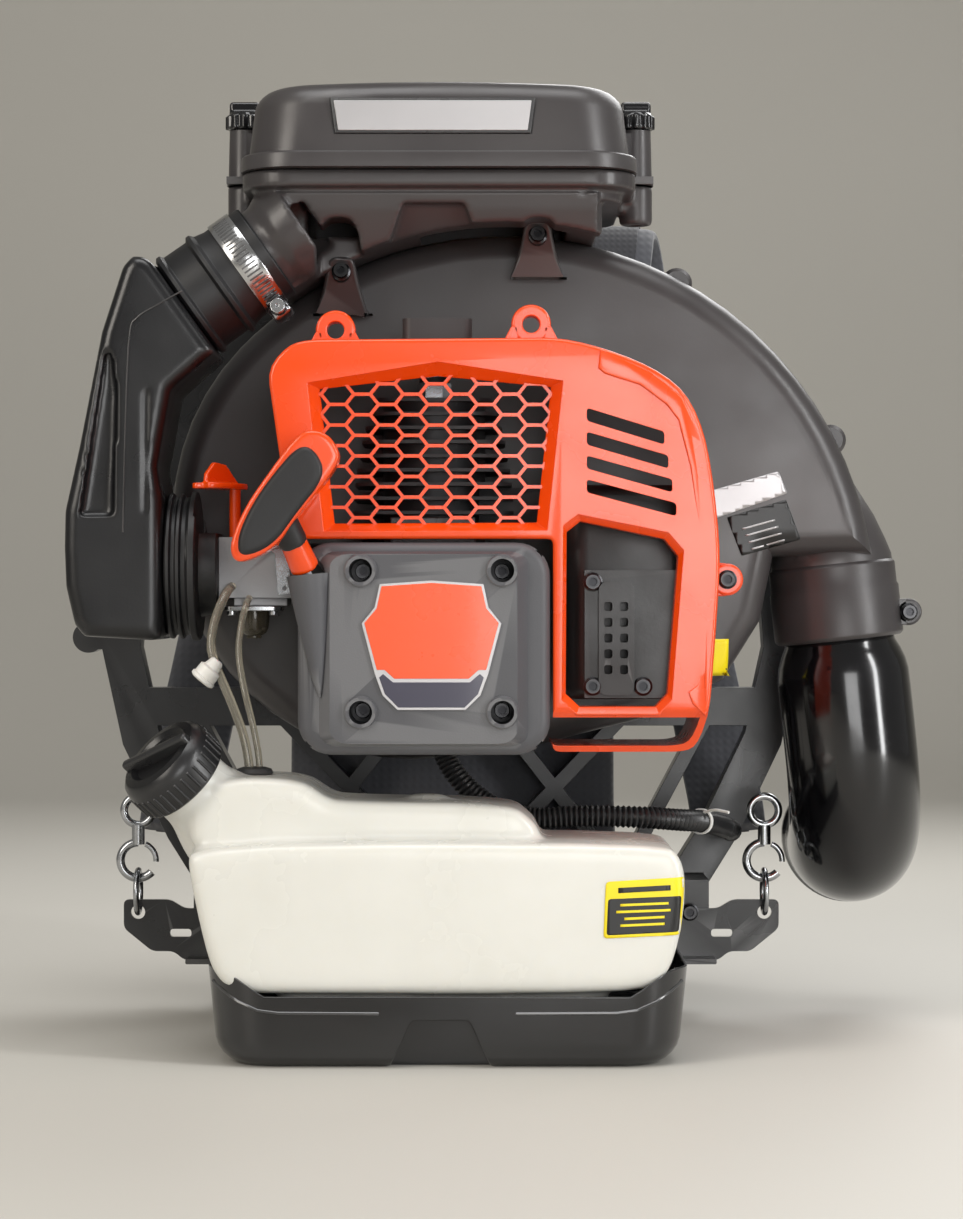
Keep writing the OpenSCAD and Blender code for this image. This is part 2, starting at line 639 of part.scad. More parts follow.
// ---- engine cover ----
module cover_openings() {
    hex_w = 14.2;
    hex_h = 10.4;
    rib = 1.7;
    intersection() {
        polygon(honeycomb_pts);
        for (i = [-5 : 5]) for (j = [0 : 10])
            translate([2 + hex_w / 2 * 1.75 * i, 52 + hex_h * (j + (i % 2 == 0 ? 0 : 0.5))])
                scale([hex_w / hex_h * 0.98, 1]) circle(d = (hex_h - rib) / cos(30), $fn = 6);
    }
    polygon(muffler_window);
    for (i = [0 : 3]) polygon([for (p = [[78, 111], [117 + 2 * i, 99], [117 + 2 * i, 105.5], [78, 117.5]])
        [p.x, p.y - 12 * i]]);
}
module engine_cover() {
    wall = 2.6;
    color(orange) on_crank() difference() {
        union() {
            along_y(cover_front, cover_back) polygon(cover_pts);
            for (i = [1, 2]) along_y(cover_front + 30, cover_front + 36) {
                translate(cover_screw_spots[i]) circle(r = 9);
                translate([cover_screw_spots[i].x - 8, 140]) square([16, cover_screw_spots[i].y - 140]);
            }
            along_y(cover_front + 24, cover_front + 34) {
                translate(cover_screw_spots[0]) circle(r = 7.5);
                translate([136, cover_screw_spots[0].y - 7]) square([cover_screw_spots[0].x - 136, 14]);
            }
            along_y(cover_front + 24, cover_front + 32) translate([67, -64]) square([7, 10]);
        }
        along_y(cover_front + wall, cover_back + 1) polygon(inset(cover_pts, wall));
        along_y(cover_front - 1, cover_front + 10) cover_openings();
        for (i = [1, 2]) rod_y(cover_screw_spots[i].x, cover_screw_spots[i].y, cover_front, cover_front + 40, 4);
        rod_y(cover_screw_spots[0].x, cover_screw_spots[0].y, cover_front, cover_front + 40, screw_r + 0.3);
        // Room for the crankcase, the cylinder and the boot
        translate([-66, starter_back - 2, 30]) cube([118, 100, 30]);
        translate([-60, starter_back - 2, 40]) cube([122, 100, 14]);
        translate([-20, cyl_y - 42, 140]) cube([44, 60, 30]);
    }
}

// ---- carburettor side ----
throttle_y = cyl_y - 17;
module insulator() {
    color(black) on_crank() difference() {
        union() {
            rod_x(cyl_y, port_z + 1, -70, -38.1, 11);
            translate([carb_x1, cyl_y - 13, port_z - 12]) cube([4, 26, 24]);
        }
        rod_x(cyl_y, port_z + 1, carb_x1 - 1, -38, 7);
    }
}
carb_x0 = -113;
carb_x1 = -72.5;
module carburettor() {
    color(cast) on_crank() difference() {
        union() {
            translate([carb_x0, cyl_y - 15, port_z - 17]) cube([carb_x1 - carb_x0, 32, 32]);
            translate([carb_x0 + 8, cyl_y - 14, port_z - 21]) cube([28, 30, 5]);
        }
        rod_x(cyl_y, port_z, carb_x0 - 1, -70, 8);
        translate([choke_at.x, choke_at.y, port_z + 7]) cylinder(h = 12, r = 3 + turn_gap);
        rod_y(carb_x0 + 33, port_z + 11, cyl_y - 20, cyl_y - 7, 2.5 + turn_gap);
    }
}
choke_at = [carb_x0 + 8, cyl_y - 7, port_z + 15];
choke_rise = 25;
module choke_lever() {
    color(orange) on_crank() translate(choke_at) {
        translate([0, 0, -7]) cylinder(h = choke_rise + 8, r = 3);
        translate([0, 0, choke_rise]) rotate(-30) {
            linear_extrude(height = 3) {
                circle(r = 7);
                polygon([[-7, 0], [-10, -26], [0, -36], [10, -26], [7, 0]]);
            }
            translate([-1.5, -32, 2]) cube([3, 28, 10]);
        }
    }
}
throttle_at = [carb_x0 + 33, throttle_y, port_z + 11];
module throttle_lever() {
    color(steel) on_crank() {
        rod_y(throttle_at.x, throttle_at.z, cyl_y - 19, cyl_y - 8, 2.5);
        difference() {
            along_y(cyl_y - 21, cyl_y - 19) {
                translate([throttle_at.x, throttle_at.z]) circle(r = 6);
                bar([throttle_at.x, throttle_at.z], [throttle_at.x + 2, throttle_at.z - 26], 7);
            }
            rod_y(throttle_at.x + 2, throttle_at.z - 23, cyl_y - 22, cyl_y - 18, 1.2);
        }
    }
}
primer_x = -95;
primer_z = port_z - 23.6;
module primer_plate() {
    color(steel) on_crank() difference() {
        translate([primer_x - 15, cyl_y - 19, primer_z]) cube([30, 32, 2.2]);
        translate([primer_x, cyl_y - 6, primer_z - 1]) cylinder(h = 5, r = 6);
    }
}
bulb_h = 13;
module primer_bulb() {
    color("#8a8275") on_crank() translate([primer_x, cyl_y - 6, primer_z - bulb_h]) difference() {
        union() {
            translate([0, 0, 3]) cylinder(h = bulb_h - 3, r = 8);
            cylinder(h = 3, r1 = 5, r2 = 8);
        }
        translate([0, 0, 2]) cylinder(h = bulb_h, r = 6.5);
    }
}
module primer_tip() {
    color("#8a8275") on_crank() translate([primer_x, cyl_y - 6, primer_z - bulb_h - 1.6]) cylinder(h = 1.5, r = 4);
}
ring_x0 = -128;
module intake_ring() {
    color(black) on_crank() difference() {
        union() {
            rod_x(cyl_y, port_z, ring_x0 - 12, ring_x0, ring_d / 2 - 3);
            for (i = [0 : 3]) rod_x(cyl_y, port_z, ring_x0 - 12 + 3.4 * i, ring_x0 - 10 + 3.4 * i, ring_d / 2 - 1);
            rod_x(cyl_y, port_z, ring_x0, ring_x0 + 4, ring_d / 2);
            rod_x(cyl_y, port_z, ring_x0 + 4, carb_x0, 26);
        }
        rod_x(cyl_y, port_z, ring_x0 - 13, ring_x0 + 1, ring_d / 2 - 6);
        rod_x(cyl_y, port_z, ring_x0, carb_x0 + 1, 8);
        translate([carb_x0 - 12, cyl_y - 30, port_z + 17]) cube([20, 60, 40]);
    }
}

// The duct runs from the ribbed ring up to the collar on the air cleaner's left spigot
spigot_dir = unit([0.815, 0.579]);
spigot_turn = [0, atan2(spigot_dir.x, spigot_dir.y), 0];
collar_at = [-121, 183];
duct_pts = [[-146, 0], [ring_x0 - 12, 2], [ring_x0 - 12, 84], [-136, 130], [-113, 150], [-148, 199],
    [-155, 200], [-172, 160], [-183.5, 101], [-192, 67], [-191, 28], [-183.5, 2]];
duct_half = 40;
module air_duct() {
    wall = 2.5;
    color(black) on_crank() difference() {
        union() {
            along_y(cyl_y - duct_half, cyl_y + duct_half - 6)
                polygon(duct_pts);
            translate([-150, cyl_y, 162.4]) rotate(spigot_turn) cylinder(h = norm(collar_at - [-150, 162.4]), d = duct_d);
        }
        along_y(cyl_y - duct_half + wall, cyl_y + duct_half - 6 - wall)
            polygon(inset(duct_pts, wall));
        translate([-150, cyl_y, 162.4]) rotate(spigot_turn) cylinder(h = 60, r = duct_d / 2 - wall);
        rod_x(cyl_y, port_z, ring_x0 - 20, ring_x0, 33);
    }
}
module on_spigot(from) {
    on_crank() translate([collar_at.x + from * spigot_dir.x, cyl_y, collar_at.y + from * spigot_dir.y])
        rotate(spigot_turn) children();
}
module duct_collar() {
    color(black) on_spigot(0) difference() {
        union() {
            translate([0, 0, -12]) cylinder(h = 30, r = duct_d / 2 + 2);
            for (z = [-4, 10]) translate([0, 0, z]) cylinder(h = 4, r = duct_d / 2 + 4);
            translate([0, 0, 18]) cylinder(h = 22, r = duct_d / 2 + 1);
        }
        translate([0, 0, -13]) cylinder(h = 13, r = duct_d / 2 + 0.1);
        translate([0, 0, -1]) cylinder(h = 12, r = duct_d / 2 - 4);
        translate([0, 0, 10]) cylinder(h = 31, r = duct_d / 2 - 1.9);
    }
}
clamp_w = 12.7;
module hose_clamp() {
    band_r = duct_d / 2 + 1.05;
    color(steel) on_spigot(21) {
        difference() {
            cylinder(h = clamp_w, r = band_r + 1);
            translate([0, 0, -1]) cylinder(h = clamp_w + 2, r = band_r);
        }
        rotate([0, 0, -128]) translate([band_r + 0.4, -7, 0.5]) cube([7.6, 14, clamp_w - 1]);
        rotate([0, 0, -128]) translate([band_r + 4.5, 6, clamp_w / 2]) rotate([-90, 0, 0]) cylinder(h = 7, r = 3.2);
    }
}

// ---- air cleaner ----
band_z = 237;
rim_z = 246;
lid_z = rim_z + 0.3;
lid_x = 2.5;
lid_y = 14;
ped_front = -44;
ped_x = [-84, 86];
spigot_len = 46;
module air_base() {
    color(housing_grey) on_crank() difference() {
        union() {
            translate([lid_x, lid_y, band_z]) linear_extrude(height = rim_z - band_z)
                polygon(rounded(lid_w - 21, lid_d - 18, 26));
            along_x(ped_x[0], ped_x[1])
                polygon([[ped_front, band_z + 1], [ped_front + 34, 206], [ped_front + 44, 190], [scroll_back + 2, 190],
                    [scroll_back + 2, band_z + 1]]);
            intersection() {
                translate([collar_at.x + 19 * spigot_dir.x, cyl_y, collar_at.y + 19 * spigot_dir.y])
                    rotate(spigot_turn) cylinder(h = spigot_len, r = duct_d / 2 - 2);
                translate([-130, -80, 150]) cube([120, 120, band_z - 150]);
            }
            for (s = [-1, 1]) translate([lid_x + s * (lid_w / 2 - 8), lid_y, band_z - 12]) cylinder(h = 21, r = 9);
        }
        // Seat on the fan housing
        on_scroll_arc(scroll_r + 0.1);
        translate([collar_at.x + 19 * spigot_dir.x, cyl_y, collar_at.y + 19 * spigot_dir.y])
            rotate(spigot_turn) translate([0, 0, -1]) cylinder(h = spigot_len + 6, r = duct_d / 2 - 5);
        translate([lid_x, lid_y, band_z + 3]) linear_extrude(height = rim_z) polygon(rounded(lid_w - 28, lid_d - 25, 22));
        translate([-70, ped_front + 18, 217]) cube([142, 84, 30]);
        for (s = [-1, 1]) translate([lid_x + s * (lid_w / 2 - 8), lid_y, band_z - 11]) cylinder(h = 30, r = knob_shank + turn_gap);
    }
}
module on_scroll_arc(r) { rod_y(top_c.x, top_c.y, -60, scroll_back + 10, r); }
knob_shank = 2.5;
tower_h = 30;
module air_lid() {
    wall = 2.5;
    color(housing_grey) on_crank() difference() {
        union() {
            translate([lid_x, lid_y, lid_z]) linear_extrude(height = 8) polygon(rounded(lid_w - 12, lid_d, 28));
            translate([lid_x, lid_y, lid_z + 7]) linear_extrude(height = lid_h - 13)
                polygon(rounded(lid_w - 26, lid_d - 6, 26));
            translate([lid_x, lid_y, lid_z + lid_h - 7]) linear_extrude(height = 7)
                polygon(rounded(lid_w - 44, lid_d - 24, 22));
            for (s = [-1, 1]) translate([lid_x + s * (lid_w / 2 - 8), lid_y, lid_z]) cylinder(h = tower_h, r = 9);
        }
        difference() {
            union() {
                translate([lid_x, lid_y, lid_z - 1]) linear_extrude(height = lid_h - 8)
                    polygon(rounded(lid_w - 31, lid_d - 11, 23));
            }
            for (s = [-1, 1]) translate([lid_x + s * (lid_w / 2 - 8), lid_y, lid_z - 2]) cylinder(h = tower_h + 2, r = 9);
        }
        for (s = [-1, 1]) {
            translate([lid_x + s * (lid_w / 2 - 8), lid_y, lid_z - 1]) cylinder(h = tower_h + 4, r = knob_shank + 0.4);
            translate([lid_x + s * (lid_w / 2 - 8), lid_y, lid_z + tower_h]) cylinder(h = 40, r = 11);
        }
    }
}
module lid_plate() {
    color(steel) on_crank() translate([lid_x - 3, lid_y - lid_d / 2 + 3, lid_z + 21])
        rotate([90, 0, 0]) linear_extrude(height = 1.5) polygon([[-48, -7], [47, -7], [49, 9], [-50, 9]]);
}
module air_filter() {
    color("#c8b78a") on_crank() translate([lid_x, lid_y, band_z + 3.1]) linear_extrude(height = 34)
        polygon(rounded(lid_w - 64, lid_d - 40, 16));
}
module lid_knob(s) {
    color(black) on_crank() translate([lid_x + s * (lid_w / 2 - 8), lid_y, lid_z + tower_h]) {
        translate([0, 0, -tower_h - 8]) cylinder(h = tower_h + 9, r = knob_shank);
        translate([0, 0, 0.3]) cylinder(h = 4, r = 9);
        translate([-8, -2, 4]) cube([16, 4, 12]);
    }
}
module knob_left() { lid_knob(-1); }
module knob_right() { lid_knob(1); }

// ---- fuel system ----
tank_foot_z = 31;
tank_front = tray_front + 4;
tank_low = [[-84, 36], [95, 36], [110, 44], [117, 68], [119, 91], [117, 104], [108, 112], [-130, 112],
    [-129, 96], [-121, 59], [-116, 45], [-106, 37]];
tank_high = [[-130, 110], [47, 110], [47, 117], [41, 123], [32, 130], [-56, 131], [-63, 134], [-75, 143],
    [-118, 143], [-131, 128]];
neck_dir = unit([-0.62, -0.42, 0.66]);
neck_turn = [0, acos(neck_dir.z), atan2(neck_dir.y, neck_dir.x)];
neck_at = [-122, -92, 128];
neck_r = 21;
neck_len = 30;
module on_neck(from) { translate(neck_at + from * neck_dir) rotate(neck_turn) children(); }
grommet_at = [-100, tank_front + 58, 143];
grommet_r = 10;
module fuel_tank() {
    color(tank_white) difference() {
        union() {
            difference() {
                union() {
                    along_y(tank_front, tank_front + tank_d) polygon(tank_low);
                    along_y(tank_front + 22, tank_front + tank_d - 6) polygon(tank_high);
                }
                along_y(tank_front + tank_wall, tank_front + tank_d - tank_wall) polygon(inset(tank_low, tank_wall));
                along_y(tank_front + 22 + tank_wall, tank_front + tank_d - 6 - tank_wall)
                    polygon(inset(tank_high, tank_wall));
            }
            translate([-86, tank_front + 14, tank_foot_z]) cube([167, tank_d - 28, 6]);
            difference() {
                on_neck(0) cylinder(h = neck_len, r = neck_r);
                translate([-128, tank_front + 22 + tank_wall, 80]) cube([80, tank_d, 60]);
            }
        }
        on_neck(-16) cylinder(h = 60, r = neck_r - 4);
        translate(grommet_at - [0, 0, 8]) cylinder(h = 20, r = grommet_r - 3);
    }
}
cap_from = 20;
module fuel_cap() {
    color(black) on_neck(cap_from) difference() {
        union() {
            cylinder(h = 20, r = cap_d / 2);
            translate([-3, -cap_d / 2 + 3, 19]) cube([6, cap_d - 6, 7]);
        }
        translate([0, 0, -1]) cylinder(h = 15, r = neck_r + move_gap);
    }
}
module cap_gasket() {
    color("#444444") on_neck(cap_from + 10.4) difference() {
        cylinder(h = 3.2, r = neck_r - 1);
        translate([0, 0, -1]) cylinder(h = 6, r = neck_r - 7);
    }
}
module tank_grommet() {
    color(black) difference() {
        translate(grommet_at) cylinder(h = 3, r = grommet_r);
        translate(grommet_at - [0, 0, 1]) cylinder(h = 6, r = 5);
    }
}
feed_route = [[-102.2, -82, 120], [-102.2, -82, 136], [-103, -82, 150], [-106, -81, 164], [-112, -79, 180],
    [-119, -76, 196], [-123, -72, 208], [-122, -68, 220], [-119, -64, 230], [-116, -58, 237], [-114, -50.1, 240]];
return_route = [[-97.5, -79.5, 124], [-97.5, -79.5, 138], [-98, -79, 152], [-101, -78, 168], [-105, -76, 184],
    [-108, -72, 198], [-109, -68, 208], [-108, -64, 220], [-106, -59, 230], [-105, -50.1, 234]];
module fuel_lines() {
    color("#b9b2a4") {
        sweep(feed_route, round_section(2.4));
        sweep(return_route, round_section(1.8));
    }
}
valve_at = [-128, -77, 191];
module check_valve() {
    color("white") translate(valve_at) rotate([0, 40, 0]) {
        cylinder(h = 8, r = 7);
        translate([0, 0, 8]) cylinder(h = 4, r1 = 7, r2 = 4);
    }
}
loom_route = [[-6, -2, 169], [-5, -4, 158], [0, -8, 144], [12, -12, 130], [28, -14, 120], [46, -14, 116],
    [66, -13, 117], [86, -12, 117], [106, -8, 116], [124, 4, 114], [138, 22, 112], [150, 46, 108],
    [157, 72, 104], [159, 94, 102], [159, 116.9, 102]];
module loom() {
    color(black) sweep(loom_route, round_section(6, 10));
}

base_tray();
back_frame();
av_mounts();
back_pad();
strap_left();
strap_right();
hook_brackets();
wire_rings();
hook_left();
hook_right();
gate_left();
gate_right();
volute_front();
volute_rear();
outlet_collar();
elbow();
fan();
intake_grille();
crankcase();
cylinder_node();  // cylinder
piston();
crankshaft();
flywheel();
spark_plug();
plug_boot();
ignition_coil();
muffler();
muffler_guard();
case_screws();
starter_cover();
badge();
starter_reel();
recoil_spring();
starter_rope();
starter_handle();
engine_cover();
carburettor();
insulator();
choke_lever();
throttle_lever();
primer_plate();
primer_bulb();
primer_tip();
intake_ring();
air_duct();
duct_collar();
hose_clamp();
air_base();
air_lid();
lid_plate();
air_filter();
knob_left();
knob_right();
fuel_tank();
fuel_cap();
cap_gasket();
tank_grommet();
fuel_lines();
check_valve();
loom();
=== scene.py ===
"""Backpack leaf blower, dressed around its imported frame. Lengths are millimetres until a piece is finished."""
import json
import logging
import math
from dataclasses import dataclass, field
from enum import Enum
from typing import Callable, Iterable, Optional, Sequence

import bmesh
import bpy
from mathutils import Matrix, Vector


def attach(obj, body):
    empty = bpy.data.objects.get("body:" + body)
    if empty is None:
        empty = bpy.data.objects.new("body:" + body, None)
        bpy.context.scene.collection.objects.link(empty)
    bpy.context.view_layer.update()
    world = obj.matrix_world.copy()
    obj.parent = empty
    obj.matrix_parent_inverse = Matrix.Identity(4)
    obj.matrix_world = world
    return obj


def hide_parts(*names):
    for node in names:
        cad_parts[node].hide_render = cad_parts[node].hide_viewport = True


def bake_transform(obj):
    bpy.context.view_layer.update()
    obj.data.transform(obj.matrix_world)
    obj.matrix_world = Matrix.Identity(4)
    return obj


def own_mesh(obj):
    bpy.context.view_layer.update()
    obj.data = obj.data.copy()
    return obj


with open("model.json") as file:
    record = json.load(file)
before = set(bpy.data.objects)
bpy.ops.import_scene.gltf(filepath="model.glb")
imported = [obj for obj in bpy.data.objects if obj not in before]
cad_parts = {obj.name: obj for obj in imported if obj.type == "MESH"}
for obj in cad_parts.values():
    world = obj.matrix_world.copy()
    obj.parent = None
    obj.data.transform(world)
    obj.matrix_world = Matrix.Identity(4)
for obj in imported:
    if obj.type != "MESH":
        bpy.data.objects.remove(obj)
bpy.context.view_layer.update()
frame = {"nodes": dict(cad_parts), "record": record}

LOG = logging.getLogger("leaf_blower")
MM = 0.001
CRANK = Vector((-8.0, 0.0, 212.0))
Pair = tuple[float, float]
Mesh = bmesh.types.BMesh


# ---------------------------------------------------------------- materials
def hex_colour(text: str) -> tuple[float, float, float, float]:
    """Turns an sRGB hex value into the linear colour that a shader reads."""
    parts = [int(text[i:i + 2], 16) / 255 for i in (1, 3, 5)]
    linear = [c / 12.92 if c <= 0.04045 else ((c + 0.055) / 1.055) ** 2.4 for c in parts]
    return (linear[0], linear[1], linear[2], 1.0)


def add(tree: bpy.types.NodeTree, kind: str, links: Optional[dict] = None, **settings) -> bpy.types.Node:
    """Adds a node.

    Args:
        tree: the material's node tree.
        kind: the node's type name.
        links: input name or index to a value, or to the socket that feeds it.
        settings: the node's own properties.

    Returns:
        The new node.
    """
    node = tree.nodes.new(kind)
    for name, value in settings.items():
        setattr(node, name, value)
    for key, value in (links or {}).items():
        if isinstance(value, bpy.types.NodeSocket):
            tree.links.new(value, node.inputs[key])
        else:
            node.inputs[key].default_value = value
    return node


class Pattern(Enum):
    """What runs over a surface and moves its bump."""

    GRAIN = "grain"
    WEAVE = "weave"
    BRUSHED = "brushed"
    BRAID = "braid"


@dataclass(frozen=True)
class Finish:
    """One real surface: its colours, its shine and the pattern that the eye picks up."""

    name: str
    colour: str
    shade: str
    roughness: float
    spread: float = 0.06
    pattern: Pattern = Pattern.GRAIN
    pitch: float = 1.2
    depth: float = 0.08
    metallic: float = 0.0
    coat: float = 0.0
    ior: float = 1.5
    subsurface: float = 0.0
    transmission: float = 0.0
    edge: float = 0.25
    sheen: float = 0.0

    def height(self, tree: bpy.types.NodeTree, where: bpy.types.NodeSocket) -> bpy.types.NodeSocket:
        """Builds the pattern's height field at its real pitch."""
        scale = 1 / (self.pitch * MM)
        if self.pattern in (Pattern.WEAVE, Pattern.BRAID):
            turned = add(tree, "ShaderNodeMapping", {"Vector": where, "Rotation": (
                0, 0.785 if self.pattern is Pattern.BRAID else 0.0, 0)})
            waves = [add(tree, "ShaderNodeTexWave", {"Vector": turned.outputs[0], "Scale": scale / 6.283 * 1.0,
                                                     "Distortion": 0.6}, bands_direction=way).outputs["Fac"]
                     for way in ("X", "Z")]
            return add(tree, "ShaderNodeMath", {0: waves[0], 1: waves[1]}, operation="MULTIPLY").outputs[0]
        if self.pattern is Pattern.BRUSHED:
            stretched = add(tree, "ShaderNodeMapping", {"Vector": where, "Scale": (0.06, 1.0, 1.0)})
            return add(tree, "ShaderNodeTexNoise", {"Vector": stretched.outputs[0], "Scale": scale,
                                                    "Detail": 3.0}).outputs["Fac"]
        return add(tree, "ShaderNodeTexNoise", {"Vector": where, "Scale": scale, "Detail": 2.0,
                                                "Roughness": 0.6}).outputs["Fac"]

    def material(self) -> bpy.types.Material:
        """Builds the material once and hands the same one back after that."""
        known = bpy.data.materials.get(self.name)
        if known:
            return known
        made = bpy.data.materials.new(self.name)
        made.use_nodes = True
        tree = made.node_tree
        shader = tree.nodes["Principled BSDF"]
        where = add(tree, "ShaderNodeTexCoord").outputs["Object"]
        # Cloudy variation of about 40 mm, from handling, dust and the moulding's flow
        cloud = add(tree, "ShaderNodeTexNoise", {"Vector": where, "Scale": 25.0, "Detail": 4.0}).outputs["Fac"]
        tone = add(tree, "ShaderNodeMix", {0: cloud, 6: hex_colour(self.colour), 7: hex_colour(self.shade)},
                   data_type="RGBA")
        # Edges rub lighter than the faces
        worn = add(tree, "ShaderNodeMapRange", {0: add(tree, "ShaderNodeNewGeometry").outputs["Pointiness"],
                                                1: 0.52, 2: 0.62, 3: 0.0, 4: self.edge})
        pale = add(tree, "ShaderNodeMix", {0: worn.outputs[0], 6: tone.outputs[2], 7: (0.55, 0.55, 0.55, 1)},
                   data_type="RGBA")
        tree.links.new(pale.outputs[2], shader.inputs["Base Color"])
        smear = add(tree, "ShaderNodeMapRange", {0: cloud, 1: 0.3, 2: 0.7, 3: max(self.roughness - self.spread, 0.03),
                                                 4: self.roughness + self.spread})
        tree.links.new(smear.outputs[0], shader.inputs["Roughness"])
        bump = add(tree, "ShaderNodeBump", {"Height": self.height(tree, where), "Strength": 0.6,
                                            "Distance": self.depth * MM})
        tree.links.new(bump.outputs[0], shader.inputs["Normal"])
        for name, value in (("Metallic", self.metallic), ("Coat Weight", self.coat), ("IOR", self.ior),
                            ("Subsurface Weight", self.subsurface), ("Transmission Weight", self.transmission),
                            ("Sheen Weight", self.sheen), ("Coat Roughness", 0.06)):
            shader.inputs[name].default_value = value
        if self.subsurface:
            shader.inputs["Subsurface Radius"].default_value = (1.0, 0.9, 0.75)
            shader.inputs["Subsurface Scale"].default_value = 6 * MM
        return made


# Glass-filled nylon, moulded: dark warm grey with a satin skin and a fine spark-eroded grain
HOUSING = Finish("moulded_nylon_housing", "#373435", "#3f3c3c", 0.36, 0.06, pitch=1.1, depth=0.05, edge=0.08)
# The starter cover's nylon has a coarser eroded texture, drawn a little coarser than real so that it shows
STARTER = Finish("textured_nylon_starter", "#454548", "#4d4d51", 0.5, 0.05, pitch=1.0, depth=0.12, edge=0.12)
# Gloss ABS: saturated orange with a wet clear skin and faint flow marks
ORANGE = Finish("gloss_abs_orange", "#e84a0a", "#df4306", 0.26, 0.05, pitch=9.0, depth=0.03, coat=0.3, edge=0.0)
# Polypropylene, polished tool: black and glossy, with long soft reflections
BLACK_GLOSS = Finish("polished_polypropylene", "#09090b", "#0d0d10", 0.16, 0.05, pitch=12.0, depth=0.04, coat=0.3,
                     edge=0.15)
# Polypropylene, plain tool: black, half matt
BLACK_SATIN = Finish("satin_polypropylene", "#0f0f11", "#141416", 0.3, 0.06, pitch=1.5, depth=0.05, edge=0.12)
# Blow-moulded polyethylene: milky, waxy, light goes into it
TANK = Finish("blow_moulded_polyethylene", "#dddcd6", "#d2d1c9", 0.26, 0.04, pitch=14.0, depth=0.05, subsurface=0.35,
              edge=0.0)
# Vulcanised rubber: soft black with no clear highlight
RUBBER = Finish("vulcanised_rubber", "#101012", "#161618", 0.5, 0.08, pitch=1.5, depth=0.08, edge=0.12)
# Zinc-plated steel: cool and bright, with a grey bloom
ZINC = Finish("zinc_plated_steel", "#b9bbbd", "#989a9e", 0.26, 0.08, pitch=1.2, depth=0.04, metallic=1.0, edge=0.1)
# Rolled stainless band: drawn lines along its length
STAINLESS = Finish("rolled_stainless_band", "#c9c9c9", "#b0b1b3", 0.22, 0.06, Pattern.BRUSHED, 0.8, 0.03,
                   metallic=1.0, edge=0.1)
# Black oxide screws: dark and slightly oily
BLACKENED = Finish("black_oxide_steel", "#3a3a3c", "#2b2b2d", 0.32, 0.06, pitch=1.0, depth=0.04, metallic=1.0, edge=0.1)
# Die-cast fins: cast grey metal, darkened to near black as painted shade for the dark inside of the cover behind the
# honeycomb
SHADE_DARKENED_FINS = Finish("cast_fins_darkened_as_shade", "#2c2c2e", "#38383a", 0.5, 0.08, pitch=1.2, depth=0.1, metallic=0.4, edge=0.1)
# Die-cast aluminium: grey with a sandy skin
CAST = Finish("die_cast_aluminium", "#8d8e90", "#77787b", 0.45, 0.08, pitch=1.4, depth=0.12, metallic=0.85)
# Stove-enamelled steel: heatproof black, slightly brown where it is hottest
ENAMEL = Finish("stove_enamelled_steel", "#121112", "#1c1716", 0.36, 0.08, pitch=2.0, depth=0.08, edge=0.1)
# Anodised badge plate under a clear film
BADGE_ORANGE = Finish("badge_enamel_orange", "#ec4e0c", "#e64a0a", 0.28, 0.03, pitch=6.0, depth=0.01, coat=0.4,
                      edge=0.0)
BADGE_VIOLET = Finish("badge_enamel_violet", "#2b283a", "#312e41", 0.3, 0.03, pitch=6.0, depth=0.01, coat=0.4,
                      edge=0.0)
# Brushed silver film on plates and labels
SILVER = Finish("brushed_silver_film", "#a9a7a8", "#b7b5b6", 0.34, 0.04, Pattern.BRUSHED, 0.9, 0.02, metallic=0.55,
                edge=0.0)
# Printed vinyl: flat, slightly waxy
LABEL_YELLOW = Finish("printed_vinyl_yellow", "#f2dc14", "#ead30f", 0.4, 0.04, pitch=3.0, depth=0.01, edge=0.0)
LABEL_BLACK = Finish("printed_vinyl_black", "#141414", "#1c1c1c", 0.35, 0.04, pitch=3.0, depth=0.01, edge=0.0)
# Polyester webbing and air mesh: matt, with the weave drawn at 2.4 mm so that it shows
CLOTH = Finish("air_mesh_polyester", "#3e3f44", "#4a4b50", 0.85, 0.04, Pattern.WEAVE, 2.4, 0.5, edge=0.0, sheen=0.3)
WEBBING = Finish("woven_webbing", "#232327", "#2c2c31", 0.75, 0.05, Pattern.WEAVE, 1.8, 0.4, edge=0.0, sheen=0.2)
# Braided starter rope: pale with a diagonal braid
ROPE = Finish("braided_polyester_rope", "#c9cbd1", "#8f9299", 0.8, 0.05, Pattern.BRAID, 1.6, 0.4, edge=0.0, sheen=0.2)
# Clear vinyl hose and smoked bulb: light passes, with a yellow cast
VINYL = Finish("clear_vinyl_hose", "#cfcabb", "#b9b3a2", 0.14, 0.04, pitch=5.0, depth=0.02, transmission=0.75,
               ior=1.45, edge=0.0)
SMOKED = Finish("smoked_vinyl_bulb", "#77705f", "#665f50", 0.12, 0.03, pitch=5.0, depth=0.02, transmission=0.7,
                ior=1.45, edge=0.0)
# Moulded nylon, natural white
WHITE = Finish("natural_nylon", "#ecebe6", "#dfded8", 0.4, 0.05, pitch=2.0, depth=0.03, subsurface=0.2, edge=0.0)
# Oiled foam and felt
FELT = Finish("oiled_felt", "#b79f63", "#a48c52", 0.9, 0.03, pitch=1.6, depth=0.4, edge=0.0)


# ---------------------------------------------------------------- mesh tools
def shifted(points: Iterable[Pair], offset: Vector = CRANK) -> list[Pair]:
    """Moves an (x, z) outline given about the crankshaft to its place above the ground."""
    return [(x + offset.x, z + offset.z) for x, z in points]


def soften(points: Sequence[Pair], times: int = 2) -> list[Pair]:
    """Cuts the corners of a closed outline, so that it turns smoothly."""
    for _ in range(times):
        points = [(a[0] + (b[0] - a[0]) * t, a[1] + (b[1] - a[1]) * t)
                  for a, b in zip(points, list(points[1:]) + [points[0]]) for t in (0.25, 0.75)]
    return list(points)


